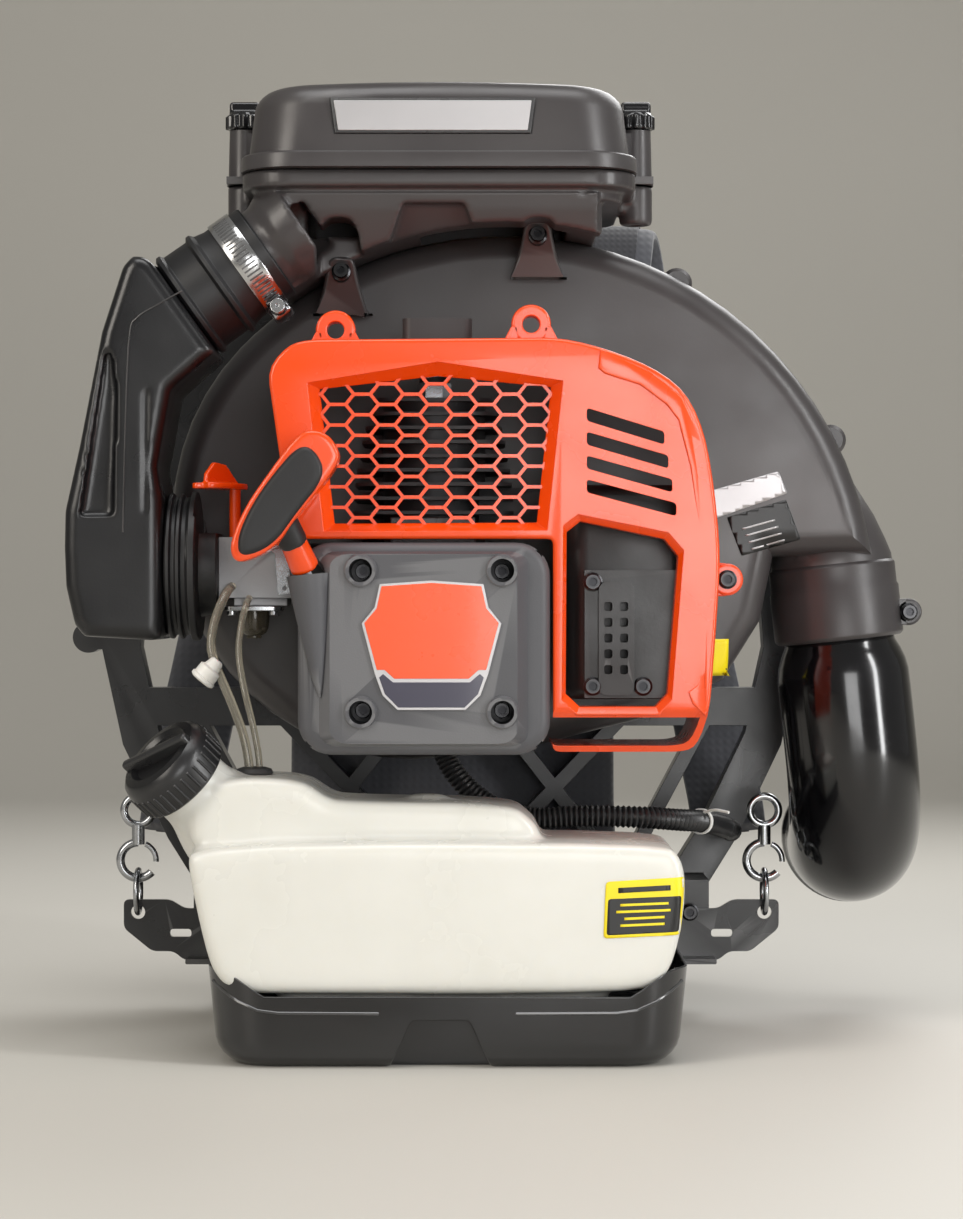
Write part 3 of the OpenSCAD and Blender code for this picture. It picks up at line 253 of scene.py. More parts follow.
def grown(points: Sequence[Pair], by: float) -> list[Pair]:
    """Moves each corner of a convex outline away from its middle."""
    mid = Vector((sum(p[0] for p in points) / len(points), sum(p[1] for p in points) / len(points)))
    out = []
    for p in points:
        away = Vector(p) - mid
        out.append(tuple(mid + away * (1 + by / away.length)))
    return out


def rounded(points: Sequence[Pair], radius: float | Sequence[float], steps: int = 5) -> list[Pair]:
    """Rounds the corners of a closed outline.

    Args:
        points: the outline's corners.
        radius: how far each round starts from its corner, one for all or one for each.
        steps: how many pieces a round has.

    Returns:
        The rounded outline.
    """
    out = []
    for i, p in enumerate(points):
        here, before, after = Vector(p), Vector(points[i - 1]), Vector(points[(i + 1) % len(points)])
        reach = radius if isinstance(radius, (int, float)) else radius[i]
        a = here + (before - here).normalized() * min(reach, (before - here).length * 0.48)
        b = here + (after - here).normalized() * min(reach, (after - here).length * 0.48)
        for k in range(steps + 1):
            t = k / steps
            out.append(tuple(a * (1 - t) ** 2 + here * (2 * t * (1 - t)) + b * t * t))
    return out


def curve_through(points: Sequence[Sequence[float]], steps: int = 6) -> list[Vector]:
    """Runs a smooth line through points.

    Args:
        points: the route's own points.
        steps: how many pieces each stretch is cut into.

    Returns:
        The points of the smooth line, in order.
    """
    p = [Vector(q) for q in points]
    p = [2 * p[0] - p[1]] + p + [2 * p[-1] - p[-2]]
    line = []
    for a, b, c, d in zip(p, p[1:], p[2:], p[3:]):
        for i in range(steps):
            t = i / steps
            line.append(0.5 * ((2 * b) + (c - a) * t + (2 * a - 5 * b + 4 * c - d) * t * t
                               + (3 * b - a - 3 * c + d) * t ** 3))
    line.append(p[-2])
    return line


def raise_outline(bm: Mesh, corners: Sequence[Vector], along: Vector) -> list[bmesh.types.BMVert]:
    """Fills an outline and extrudes it into a solid."""
    low = [bm.verts.new(c) for c in corners]
    face = bm.faces.new(low)
    grown_geom = bmesh.ops.extrude_face_region(bm, geom=[face])["geom"]
    top = [v for v in grown_geom if isinstance(v, bmesh.types.BMVert)]
    bmesh.ops.translate(bm, vec=along, verts=top)
    return low + top


def prism(bm: Mesh, points: Sequence[Pair], y0: float, y1: float) -> list[bmesh.types.BMVert]:
    """Extrudes an (x, z) outline from y0 to y1."""
    return raise_outline(bm, [Vector((x, y0, z)) for x, z in points], Vector((0, y1 - y0, 0)))


def block(bm: Mesh, low: Sequence[float], high: Sequence[float]) -> list[bmesh.types.BMVert]:
    """Adds a box between two corners."""
    size = Vector(high) - Vector(low)
    middle = (Vector(high) + Vector(low)) / 2
    return bmesh.ops.create_cube(bm, size=1.0, matrix=Matrix.LocRotScale(middle, None, size))["verts"]


def edges_of(verts: Iterable[bmesh.types.BMVert], test: Callable[[Vector, Vector], bool]) -> list:
    """Picks the edges between some vertices whose two ends pass a test."""
    chosen = {e for v in verts if v.is_valid for e in v.link_edges}
    return [e for e in chosen if test(e.verts[0].co, e.verts[1].co)]


def round_edges(bm: Mesh, edges: Sequence, width: float, segments: int = 4) -> None:
    """Bevels edges into a round."""
    bmesh.ops.bevel(bm, geom=list(edges), offset=width, offset_type="OFFSET", segments=segments, profile=0.5,
                    affect="EDGES", clamp_overlap=True, material=-1)


def at_y(y: float) -> Callable[[Vector, Vector], bool]:
    """Tests that an edge lies in the plane at y."""
    return lambda a, b: abs(a.y - y) < 0.01 and abs(b.y - y) < 0.01


def at_z(z: float) -> Callable[[Vector, Vector], bool]:
    """Tests that an edge lies in the plane at z."""
    return lambda a, b: abs(a.z - z) < 0.01 and abs(b.z - z) < 0.01


def upright(a: Vector, b: Vector) -> bool:
    """Tests that an edge runs straight up."""
    return abs(a.x - b.x) < 0.01 and abs(a.y - b.y) < 0.01


def lathe(bm: Mesh, profile: Sequence[Pair], origin: Sequence[float], axis: Sequence[float], steps: int = 48,
          closed: bool = False) -> None:
    """Spins a (radius, height) profile about an axis.

    Args:
        bm: the mesh that it is added to.
        profile: radius and height of each point.
        origin: the point where height is nought.
        axis: the axis of the turn.
        steps: how many sides it has.
        closed: whether the profile's last point joins its first, as for a ring.
    """
    start, a = Vector(origin), Vector(axis).normalized()
    u = a.orthogonal().normalized()
    verts = [bm.verts.new(start + u * r + a * h) for r, h in profile]
    pairs = list(zip(verts, verts[1:])) + ([(verts[-1], verts[0])] if closed else [])
    edges = [bm.edges.new(p) for p in pairs]
    bmesh.ops.spin(bm, geom=verts + edges, cent=start, axis=a, angle=math.tau, steps=steps, use_merge=True)
    bmesh.ops.remove_doubles(bm, verts=[v for v in bm.verts if v.is_valid], dist=0.001)


def loop(bm: Mesh, points: Sequence[Vector]) -> list:
    """Adds a closed loop of edges."""
    verts = [bm.verts.new(p) for p in points]
    return [bm.edges.new((a, b)) for a, b in zip(verts, verts[1:] + verts[:1])]


def bridge(bm: Mesh, loops: Sequence[Sequence[Vector]], ends: bool = True, ring: bool = False) -> None:
    """Joins loops of the same count into a skin, with closed ends, or back to the first loop."""
    rows = [loop(bm, points) for points in loops]
    pairs = list(zip(rows, rows[1:])) + ([(rows[-1], rows[0])] if ring else [])
    for a, b in pairs:
        bmesh.ops.bridge_loops(bm, edges=a + b)
    if ends and not ring:
        for row in (rows[0], rows[-1]):
            bmesh.ops.contextual_create(bm, geom=row)


def tube(bm: Mesh, route: Sequence[Sequence[float]], radius: float | Callable[[int], float], sides: int = 14) -> None:
    """Bridges circles along a route into a closed tube."""
    line = [Vector(p) for p in route]
    u = (line[1] - line[0]).orthogonal().normalized()
    loops = []
    for i, p in enumerate(line):
        t = (line[min(i + 1, len(line) - 1)] - line[max(i - 1, 0)]).normalized()
        u = (u - t * u.dot(t)).normalized()
        v = t.cross(u)
        r = radius(i) if callable(radius) else radius
        loops.append([p + u * (r * math.cos(math.tau * k / sides)) + v * (r * math.sin(math.tau * k / sides))
                      for k in range(sides)])
    bridge(bm, loops)


def object_from(bm: Mesh, name: str, scale: float = MM) -> bpy.types.Object:
    """Turns a mesh in millimetres into a linked object in metres, with its faces outwards."""
    bmesh.ops.scale(bm, vec=(scale, scale, scale), verts=bm.verts)
    bmesh.ops.recalc_face_normals(bm, faces=bm.faces)
    mesh = bpy.data.meshes.new(name)
    bm.to_mesh(mesh)
    bm.free()
    made = bpy.data.objects.new(name, mesh)
    bpy.context.scene.collection.objects.link(made)
    return made


def settle(piece: bpy.types.Object) -> None:
    """Applies the modifiers that a piece carries."""
    graph = bpy.context.evaluated_depsgraph_get()
    mesh = bpy.data.meshes.new_from_object(piece.evaluated_get(graph))
    piece.modifiers.clear()
    old, piece.data = piece.data, mesh
    name = old.name
    bpy.data.meshes.remove(old)
    mesh.name = name


def cut(bm: Mesh, cutters: Sequence[Mesh], operation: str = "DIFFERENCE") -> Mesh:
    """Cuts solids out of a solid, or joins them to it.

    Args:
        bm: the solid, in millimetres.
        cutters: the other solids.
        operation: DIFFERENCE or UNION.

    Returns:
        The new solid, in millimetres.
    """
    base = object_from(bm, "cut_base", 1.0)
    spare = [object_from(c, f"cutter_{i}", 1.0) for i, c in enumerate(cutters)]
    for tool in spare:
        step = base.modifiers.new("cut", "BOOLEAN")
        step.operation, step.object, step.solver = operation, tool, "MANIFOLD"
    settle(base)
    result = bmesh.new()
    result.from_mesh(base.data)
    for gone in [base] + spare:
        bpy.data.objects.remove(gone)
    return result


def finish_piece(name: str, bm: Mesh, finish: Finish, body: str = "root", replaces: Sequence[str] = (),
                 bevel: float = 0.0, segments: int = 3, voxel: float = 0.0,
                 smooth: int = 6, angle: float = 32.0) -> bpy.types.Object:
    """Makes a finished piece from a mesh.

    Args:
        name: the piece's name.
        bm: its mesh, in millimetres.
        finish: what it is made of.
        body: the body that it moves with.
        replaces: the CAD nodes that it stands for.
        bevel: the width of the round on its sharp edges.
        segments: how many faces that round has.
        voxel: the grid that melts a moulding's pieces into one skin, or nought.
        smooth: how far that skin is smoothed.
        angle: the angle past which an edge stays sharp.

    Returns:
        The object, in its place.
    """
    made = object_from(bm, name)
    if voxel:
        melt = made.modifiers.new("melt", "REMESH")
        melt.mode, melt.voxel_size = "VOXEL", voxel * MM
        even = made.modifiers.new("even", "SMOOTH")
        even.factor, even.iterations = 0.5, smooth
        settle(made)
    made.data.shade_smooth()
    if not voxel:
        made.data.set_sharp_from_angle(angle=math.radians(angle))
        if bevel:
            rim = made.modifiers.new("round", "BEVEL")
            rim.width, rim.segments, rim.limit_method = bevel * MM, segments, "ANGLE"
            rim.angle_limit, rim.harden_normals, rim.use_clamp_overlap = math.radians(angle), True, True
    made.data.materials.clear()
    made.data.materials.append(finish.material())
    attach(made, body)
    if replaces:
        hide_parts(*replaces)
    LOG.info("%s: %d faces, %s", name, len(made.data.polygons), finish.name)
    return made


def film(name: str, outline: Sequence[Pair], below: bpy.types.Object, lift: float, finish: Finish,
         steps: int = 14) -> None:
    """Lays a printed film on the surface behind it.

    Args:
        name: the piece's name.
        outline: its (x, z) outline.
        below: what it is stuck to.
        lift: how far in front of that it lies.
        finish: what it is made of.
        steps: how finely it bends.
    """
    bm = bmesh.new()
    start = min((below.matrix_world @ v.co).y for v in below.data.vertices) / MM - 5
    bm.faces.new([bm.verts.new((x, start, z)) for x, z in outline])
    for axis in (0, 2):
        low, high = min(v.co[axis] for v in bm.verts), max(v.co[axis] for v in bm.verts)
        way = Vector((1, 0, 0)) if axis == 0 else Vector((0, 0, 1))
        for i in range(1, steps):
            bmesh.ops.bisect_plane(bm, geom=bm.verts[:] + bm.edges[:] + bm.faces[:],
                                   plane_co=way * (low + (high - low) * i / steps), plane_no=way)
    bmesh.ops.recalc_face_normals(bm, faces=bm.faces)
    made = finish_piece(name, bm, finish)
    press = made.modifiers.new("press", "SHRINKWRAP")
    press.target, press.wrap_method, press.offset = below, "PROJECT", lift * MM
    press.use_project_y = press.use_positive_direction = press.use_negative_direction = True
    thick = made.modifiers.new("film", "SOLIDIFY")
    thick.thickness, thick.offset = 0.16 * MM, 0.0
    settle(made)


def body_of(node: str) -> str:
    """Names the body that a CAD node belongs to."""
    return next(b for b, nodes in frame["record"]["behaviour"]["bodies"].items() if node in nodes)


def dress(node: str, finish: Finish, bevel: float = 0.0) -> None:
    """Gives a CAD node its finish, or a copy of it with rounded edges that replaces it."""
    source = frame["nodes"][node]
    if not bevel:
        source.data.materials.clear()
        source.data.materials.append(finish.material())
        return
    bm = bmesh.new()
    bm.from_mesh(source.data)
    bmesh.ops.scale(bm, vec=(1 / MM,) * 3, verts=bm.verts)
    bmesh.ops.remove_doubles(bm, verts=bm.verts, dist=0.002)
    bmesh.ops.dissolve_limit(bm, angle_limit=math.radians(1.5), verts=bm.verts, edges=bm.edges)
    finish_piece(f"{node}_edged", bm, finish, body_of(node), [node], bevel, 2)


# ---------------------------------------------------------------- sub-assemblies
@dataclass
class BaseTray:
    """The moulded tray that the machine stands on."""

    width: float = 242.0
    depth: float = 286.0
    lip: float = 34.0
    corner: float = 30.0
    rise: float = 15.0

    def build(self) -> None:
        """Builds the tray with its raised cheeks, its hollow and the hand notch."""
        w, d = self.width / 2, self.depth / 2
        bm = bmesh.new()
        shell = block(bm, (-w, -d, 0), (w, d, self.lip))
        round_edges(bm, edges_of(shell, upright), self.corner, 8)
        round_edges(bm, [e for e in bm.edges if at_z(0.0)(e.verts[0].co, e.verts[1].co)], 13, 5)
        bmesh.ops.recalc_face_normals(bm, faces=bm.faces)
        top = [f for f in bm.faces if f.normal.z > 0.99]
        bmesh.ops.inset_region(bm, faces=top, thickness=1.6, use_even_offset=True)
        bmesh.ops.inset_region(bm, faces=top, thickness=4.4, use_even_offset=True)
        bmesh.ops.translate(bm, vec=(0, 0, -27), verts=list({v for f in top for v in f.verts}))
        # The rim climbs at both ends to hold the tank, and the sides draw in towards the ground
        for v in bm.verts:
            if v.co.z > self.lip - 1:
                rise = min(1.0, max(0.0, (abs(v.co.x) - 84) / 32))
                v.co.z += self.rise * rise * rise * (3 - 2 * rise)
            v.co.x *= 1 - 0.05 * max(0.0, 1 - v.co.z / self.lip)
        wall = bmesh.new()
        block(wall, (-38, -d + 5, 5), (30, -d + 19, 29))
        notch = bmesh.new()
        prism(notch, [(-31, -5), (24, -5), (12, 22), (10, 24), (-17, 24), (-19, 22)], -d - 2, -d + 15)
        bm = cut(cut(bm, [wall], "UNION"), [notch])
        finish_piece("base_tray_moulding", bm, BLACK_GLOSS, replaces=["base_tray"], bevel=2.2, segments=4)
        bm = bmesh.new()
        for s in (-1, 1):
            tube(bm, [(s * x, -d - 0.4 + y, z) for x, y, z in ((34, 0, 27.5), (84, 0, 27.8), (94, 0.6, 29),
                                                               (104, 4, 33),
                                                               (112, 10, 38), (117.5, 18, 42))], 0.9, 10)
        finish_piece("tray_bumper_bead", bm, BLACK_GLOSS)
        bm = bmesh.new()
        for y in (-117, -81, -45):
            block(bm, (-w + 8, y, 8), (w - 8, y + 4, 30.8))
        finish_piece("tray_ribs", bm, BLACK_SATIN, bevel=0.8)


@dataclass
class BackFrame:
    """The carrying frame with its mounts, pad, straps and hooks."""

    pad_low: Sequence[float] = (-98.0, 139.0, 66.0)
    pad_high: Sequence[float] = (98.0, 160.0, 400.0)
    strap_width: float = 44.0
    strap_thick: float = 9.0
    route: Sequence[Sequence[float]] = ((94, 147, 408), (94, 149, 424), (96, 158, 440), (98, 174, 450),
                                        (101, 190, 448), (105, 201, 432), (110, 207, 400), (117, 210, 350),
                                        (126, 210, 300), (136, 207, 250), (146, 200, 200), (153, 190, 165),
                                        (158, 174, 134), (161, 158, 114), (162, 148, 100))

    def brackets(self) -> None:
        """Builds the two pressed side brackets, each with a folded foot, a slot and the ring's eye."""
        bm = bmesh.new()
        for s in (-1, 1):
            outline = rounded([(s * x, z) for x, z in ((122, 31), (150, 31), (156, 36), (168, 36), (184, 49), (184, 65),
                                                       (158, 65), (150, 60), (122, 60))], 3.0, 4)
            prism(bm, outline, 68, 71)
            prism(bm, rounded([(s * x, z) for x, z in ((124, 30.4), (148, 30.4), (148, 33.4), (124, 33.4))], 1.0), 52,
                  71)
        holes = bmesh.new()
        for s in (-1, 1):
            lathe(holes, [(0, 0), (4, 0), (4, 8), (0, 8)], (s * 176, 66, 58), (0, 1, 0), 24)
            lathe(holes, [(0, 0), (2.8, 0), (2.8, 8), (0, 8)], (s * 134, 66, 58), (0, 1, 0), 20)
            prism(holes, rounded([(s * x, z) for x, z in ((146, 44), (158, 44), (158, 48.5), (146, 48.5))], 2.0), 60,
                  76)
        bm = cut(bm, [holes])
        finish_piece("bracket_pressings", bm, BLACK_SATIN, replaces=["hook_brackets"], bevel=0.5)

    def pad(self) -> None:
        """Builds the back pad as two stuffed channels beside a sewn valley."""
        bm = bmesh.new()
        body = block(bm, self.pad_low, self.pad_high)
        across = edges_of(body, lambda a, b: abs(a.y - b.y) < 0.01 and abs(a.z - b.z) < 0.01)
        bmesh.ops.subdivide_edges(bm, edges=across, cuts=24, use_grid_fill=True)
        tall = [e for e in bm.edges if abs(e.verts[0].co.z - e.verts[1].co.z) > 1]
        bmesh.ops.subdivide_edges(bm, edges=tall, cuts=42, use_grid_fill=True)
        made = object_from(bm, "back_pad_cushion")
        melt = made.modifiers.new("melt", "REMESH")
        melt.mode, melt.voxel_size = "VOXEL", 5 * MM
        settle(made)
        rest = [v.co.copy() for v in made.data.vertices]
        cloth = made.modifiers.new("stuffing", "CLOTH")
        cloth.settings.use_pressure = True
        cloth.settings.uniform_pressure_force = 3.0
        cloth.settings.effector_weights.gravity = 0.0
        for step in range(1, 16):
            bpy.context.scene.frame_set(step)
        settle(made)
        for v, was in zip(made.data.vertices, rest):
            move = v.co - was
            v.co = was + move * min(1.0, 3.5 * MM / max(move.length, 1e-9))
        bpy.context.scene.frame_set(1)
        low, high = Vector(self.pad_low) * MM, Vector(self.pad_high) * MM
        mid = (low + high) / 2
        for v in made.data.vertices:
            # Corners draw in, the middle valley and four cross seams are sewn down
            edge = min(v.co.x - low.x, high.x - v.co.x, v.co.z - low.z, high.z - v.co.z)
            crown = min(1.0, max(edge, 0.0) / 0.03) ** 0.5
            valley = math.exp(-(v.co.x / 0.009) ** 2)
            seam = sum(math.exp(-((v.co.z - z * MM) / 0.004) ** 2) for z in (130, 195, 270, 335))
            side = v.co.y - mid.y
            v.co.y = mid.y + side * (0.45 + 0.55 * crown) * (1 - 0.5 * min(1.0, valley + 0.45 * seam) * (side > 0))
        fine = made.modifiers.new("fine", "SUBSURF")
        fine.levels = fine.render_levels = 1
        made.data.shade_smooth()
        made.data.materials.append(CLOTH.material())
        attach(made, "root")
        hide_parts("back_pad")
        LOG.info("back_pad_cushion: %d faces", len(made.data.polygons))

    def strap(self, side: int) -> None:
        """Builds one padded shoulder strap with its webbing."""
        name = "left" if side < 0 else "right"
        line = [Vector((side * p.x, p.y, p.z)) for p in curve_through(self.route, 5)]
        for part, width, thick, lift, finish in (("pad", self.strap_width, self.strap_thick, 0.0, CLOTH),
                                                 ("webbing", 25.0, 1.6, self.strap_thick / 2 + 0.6, WEBBING)):
            bm = bmesh.new()
            loops = []
            for i, p in enumerate(line):
                t = (line[min(i + 1, len(line) - 1)] - line[max(i - 1, 0)]).normalized()
                w = Vector((1, 0, 0))
                w = (w - t * w.dot(t)).normalized()
                n = t.cross(w) * -1.0
                n = n if n.y * (1 if i > 12 else 1) >= 0 else n
                loops.append([p + w * (math.copysign(abs(math.cos(a)) ** 0.5, math.cos(a)) * width / 2)
                              + n * (math.copysign(abs(math.sin(a)) ** 0.8, math.sin(a)) * thick / 2 + lift)
                              for a in [math.tau * k / 20 for k in range(20)]])
            bridge(bm, loops)
            made = finish_piece(f"strap_{part}_{name}", bm, finish,
                                replaces=[f"strap_{name}"] if part == "pad" else ())

    def build(self) -> None:
        """Builds the frame's soft goods and dresses its hard parts."""
        dress("back_frame", BLACK_SATIN, 1.6)
        dress("av_mounts", RUBBER)
        self.brackets()
        for node in ("wire_rings", "hook_left", "hook_right", "gate_left", "gate_right"):
            dress(node, ZINC)
        self.pad()
        for side in (-1, 1):
            self.strap(side)


@dataclass
class Blower:
    """The scroll fan housing, its outlet and the fan."""

    front: float = 5.0
    back: float = 85.0
    seam: float = 45.0
    shoulder: float = 34.0
    top: Pair = (38.0, 18.0)
    radius: float = 202.0
    side_radius: float = 132.9
    outlet: Sequence[float] = (211.0, 45.0, 254.0)
    outlet_dir: Sequence[float] = (0.1045, 0.0, -0.9945)

    def outline(self) -> list[Pair]:
        """Gives the scroll's outline above the ground, seen from the engine side."""
        drop = self.radius - self.side_radius
        side = (self.top[0] + drop * math.cos(2.356), self.top[1] + drop * math.sin(2.356))
        big = [(self.top[0] + self.radius * math.cos(math.radians(a)), self.top[1] + self.radius * math.sin(
            math.radians(a))) for a in range(8, 134, 5)]
        small = [(side[0] + self.side_radius * math.cos(math.radians(a)), side[1] + self.side_radius * math.sin(
            math.radians(a))) for a in range(136, 271, 7)]
        base = side[1] - self.side_radius
        return shifted(big + small + [(40, base + 4), (110, base + 22), (157, base + 44), (177, 10), (184, 45)])

    def half(self, name: str, y0: float, y1: float, node: str) -> None:
        """Builds one half of the scroll, with a deep round along its outer side."""
        bm = bmesh.new()
        shell = prism(bm, self.outline(), y0, y1)
        outer = self.front if y0 < self.seam - 1 else self.back
        round_edges(bm, edges_of(shell, at_y(outer)), self.shoulder, 9)
        lug = bmesh.new()
        deep = abs(y1 - y0)
        for a in (27, 62):
            x = self.top[0] + CRANK.x + (self.radius - 2) * math.cos(math.radians(a))
            z = self.top[1] + CRANK.z + (self.radius - 2) * math.sin(math.radians(a))
            profile = [(0, 0), (8.5, 0), (8.5, deep * 0.55), (6.5, deep * 0.62), (0, deep * 0.62)]
            lathe(lug, profile, (x, self.seam, z), (0, -1 if outer == self.front else 1, 0), 24)
        bm = cut(bm, [lug], "UNION")
        neck = bmesh.new()
        if outer == self.front:
            lathe(neck, [(0, -62), (4, -60), (17, -42), (26, -24), (31, -10), (33.4, -2), (33.4, 1), (30, 2), (30, 18),
                         (0, 18)],
                  self.outlet, self.outlet_dir)
            bm = cut(bm, [neck], "UNION")
        finish_piece(name, bm, HOUSING, replaces=[node], bevel=1.2, angle=28)

    def outlet_parts(self) -> None:
        """Builds the collar with its clamp lugs, and the elbow."""
        bm = bmesh.new()
        lathe(bm, [(30.2, 0.5), (33, 0.5), (34.8, 2.5), (34.8, 14), (35.6, 15.5), (35.6, 41), (34, 43), (30.2, 43)],
              self.outlet, self.outlet_dir, 64, closed=True)
        finish_piece("outlet_collar_ring", bm, HOUSING, replaces=["outlet_collar"], bevel=0.6)
        axis = Vector(self.outlet_dir).normalized()
        out = Vector((0.9945, 0, 0.1045))
        at = Vector(self.outlet) + axis * 31.5 + out * 38.5
        for y in (-7, 7):
            bm = bmesh.new()
            lathe(bm, [(0, -4), (6.5, -4), (7.4, -3), (7.4, 3), (6.5, 4), (0, 4)], at + Vector((0, y, 0)), (0, 1, 0),
                  28)
            block(bm, at + Vector((-9, y - 4, -7.2)), at + Vector((-1, y + 4, 7.2)))
            finish_piece(f"collar_lug_{'front' if y < 0 else 'back'}", bm, HOUSING, bevel=0.6)
        bm = bmesh.new()
        start = Vector(self.outlet) + axis * 22
        line = [start + axis * t for t in (0, 8, 16, 23)]
        radii = [29.8, 29.8, 29.8, 30.5]
        line += [Vector(self.outlet) + axis * t for t in (50, 56, 62, 72, 86, 102)]
        radii += [33, 35.2, 36.3, 36.5, 36.5, 36.5]
        pivot = Vector(self.outlet) + axis * 102 + Vector((0, 55, 0))
        for k in range(1, 17):
            a = math.pi / 2 * k / 16
            line.append(pivot + Vector((0, -55 * math.cos(a), 0)) + axis * (55 * math.sin(a)))
            radii.append(36.5)
        line += [line[-1] + Vector((0, s, 0)) for s in (6, 8, 12, 16, 18, 24)]
        radii += [36.5, 37.6, 37.6, 37.6, 36.5, 36.5]
        inner = [(p, r - 2.5) for p, r in zip(line, radii)]
        loops = []
        for pairs, order in ((list(zip(line, radii)), 1), (inner, -1)):
            for p, r in pairs[::order]:
                i = min(range(len(line)), key=lambda k: (line[k] - p).length)
                t = (line[min(i + 1, len(line) - 1)] - line[max(i - 1, 0)]).normalized()
                u = out
                v = t.cross(u).normalized()
                loops.append([p + u * (r * math.cos(math.tau * k / 56)) + v * (r * math.sin(math.tau * k / 56))
                              for k in range(56)])
        bridge(bm, loops, ends=False, ring=True)
        finish_piece("elbow_moulding", bm, BLACK_GLOSS, replaces=["elbow"])

    def labels(self) -> None:
        """Lays the blank rating labels on the scroll's front half."""
        scroll = bpy.data.objects["scroll_front_half"]
        film("rating_label_silver", rounded([(133, 290), (178, 303), (183, 291), (137, 275)], 1.2), scroll, 0.3,
             SILVER)
        film("rating_label_black", rounded([(150, 278.0), (182, 287.6), (190, 266), (158, 257)], 1.2), scroll, 0.3,
             LABEL_BLACK)
        for i in range(4):
            x, z = 158 + 1.8 * i, 272 - 3.6 * i
            film(f"rating_label_bar_{i + 1}", [(x, z), (x + 18, z + 5), (x + 18.3, z + 4.1), (x + 0.3, z - 0.9)],
                 scroll,
                 0.5, SILVER, 5)
        film("caution_label_yellow", [(137, 212), (151, 212), (151, 192), (137, 192)], scroll, 0.3, LABEL_YELLOW,
             8)

    def build(self) -> None:
        """Builds the housing and dresses the fan behind it."""
        self.half("scroll_front_half", self.front, self.seam - 0.2, "volute_front")
        self.half("scroll_rear_half", self.seam + 0.2, self.back, "volute_rear")
        self.outlet_parts()
        self.labels()
        dress("fan", BLACK_SATIN)
        dress("intake_grille", BLACK_SATIN, 0.6)


@dataclass
class Engine:
    """The crankcase, cylinder, muffler and what turns in them."""

    guard_y: float = -104.0

    def guard(self) -> None:
        """Builds the muffler guard with its pressed panel of ten square holes."""
        bm = bmesh.new()
        plate = block(bm, (69.4, self.guard_y, 183), (126.4, self.guard_y + 2.2, 248))
        round_edges(bm, edges_of(plate, lambda a, b: abs(a.y - b.y) > 1), 5, 4)
        raised = bmesh.new()
        panel = block(raised, (76.5, self.guard_y - 3, 184.5), (94.5, self.guard_y + 1.5, 242))
        round_edges(raised, edges_of(panel, lambda a, b: abs(a.y - b.y) > 1), 4, 4)
        bm = cut(bm, [raised], "UNION")
        holes = []
        for x in (81.3, 89.3):
            for i in range(5):
                hole = bmesh.new()
                z = 197.5 + 8 * i
                side = block(hole, (x - 2.1, self.guard_y - 6, z - 2.3), (x + 2.1, self.guard_y + 5, z + 2.3))
                round_edges(hole, edges_of(side, lambda a, b: abs(a.y - b.y) > 1), 1.2, 3)
                holes.append(hole)
        bm = cut(bm, holes)
        for z in (183, 245):
            block(bm, (69.4, self.guard_y + 2, z), (126.4, self.guard_y + 10.5, z + 3))
        finish_piece("muffler_guard_pressing", bm, ENAMEL, replaces=["muffler_guard"], bevel=0.7)

    def muffler(self) -> None:
        """Builds the muffler's rounded box with its pressed seam."""
        bm = bmesh.new()
        shell = block(bm, (58, -93, 182), (128, -31, 292))
        round_edges(bm, edges_of(shell, upright), 14, 6)
        round_edges(bm, [e for e in bm.edges if at_z(182.0)(e.verts[0].co, e.verts[1].co)
                         or at_z(292.0)(e.verts[0].co, e.verts[1].co)], 6, 4)
        for y in (-63, -60.5):
            block(bm, (56.8, y, 190), (129.2, y + 1.2, 284))
        finish_piece("muffler_shell", bm, ENAMEL, replaces=["muffler"], bevel=0.8)

    def fasteners(self) -> None:
        """Builds each screw head as a socket screw with a flange, all as one piece."""
        spots = [((CRANK.x + x, -92.0, CRANK.z + z), (0, -1, 0)) for x in (-35.5, 35.5) for z in (-35.5, 35.5)]
        spots += [((142.5, -96.0, 243.3), (0, -1, 0))]
        corners = ((81.5, 30), (81.5, -23), (107, -23))
        spots += [((CRANK.x + x, self.guard_y, CRANK.z + z), (0, -1, 0)) for x, z in corners]
        spots += [((s * 134.0, 68.0, 58.0), (0, -1, 0)) for s in (-1, 1)]
        axis = Vector((0.1045, 0, -0.9945))
        spots += [(Vector((211, 45, 254)) + axis * 31.5 + Vector((0.9945, 0, 0.1045)) * 38.5 + Vector((0, -11, 0)),
                   (0, -1, 0))]
        bm = bmesh.new()
        for at, way in spots:
            lathe(bm, [(0, -8), (2.4, -8), (2.4, 0), (4.9, 0), (4.9, 0.9), (4.0, 1.4), (4.0, 4.2), (3.6, 4.6),
                       (2.2, 4.6), (2.2, 2.2), (0, 2.2)], at, way, 24)
        finish_piece("socket_screws", bm, BLACKENED, replaces=["case_screws"])

    def build(self) -> None:
        """Builds the muffler side and dresses the rest."""
        self.guard()
        self.muffler()
        self.fasteners()
        dress("crankcase", CAST, 0.8)
        # The fins carry painted shade: their near-black colour stands in for the dark inside of the cover
        dress("cylinder", SHADE_DARKENED_FINS, 0.3)
        dress("piston", CAST)
        dress("crankshaft", ZINC)
        dress("flywheel", CAST, 0.4)
        dress("spark_plug", ZINC)
        dress("plug_boot", RUBBER, 1.6)
        dress("ignition_coil", BLACK_SATIN, 0.8)


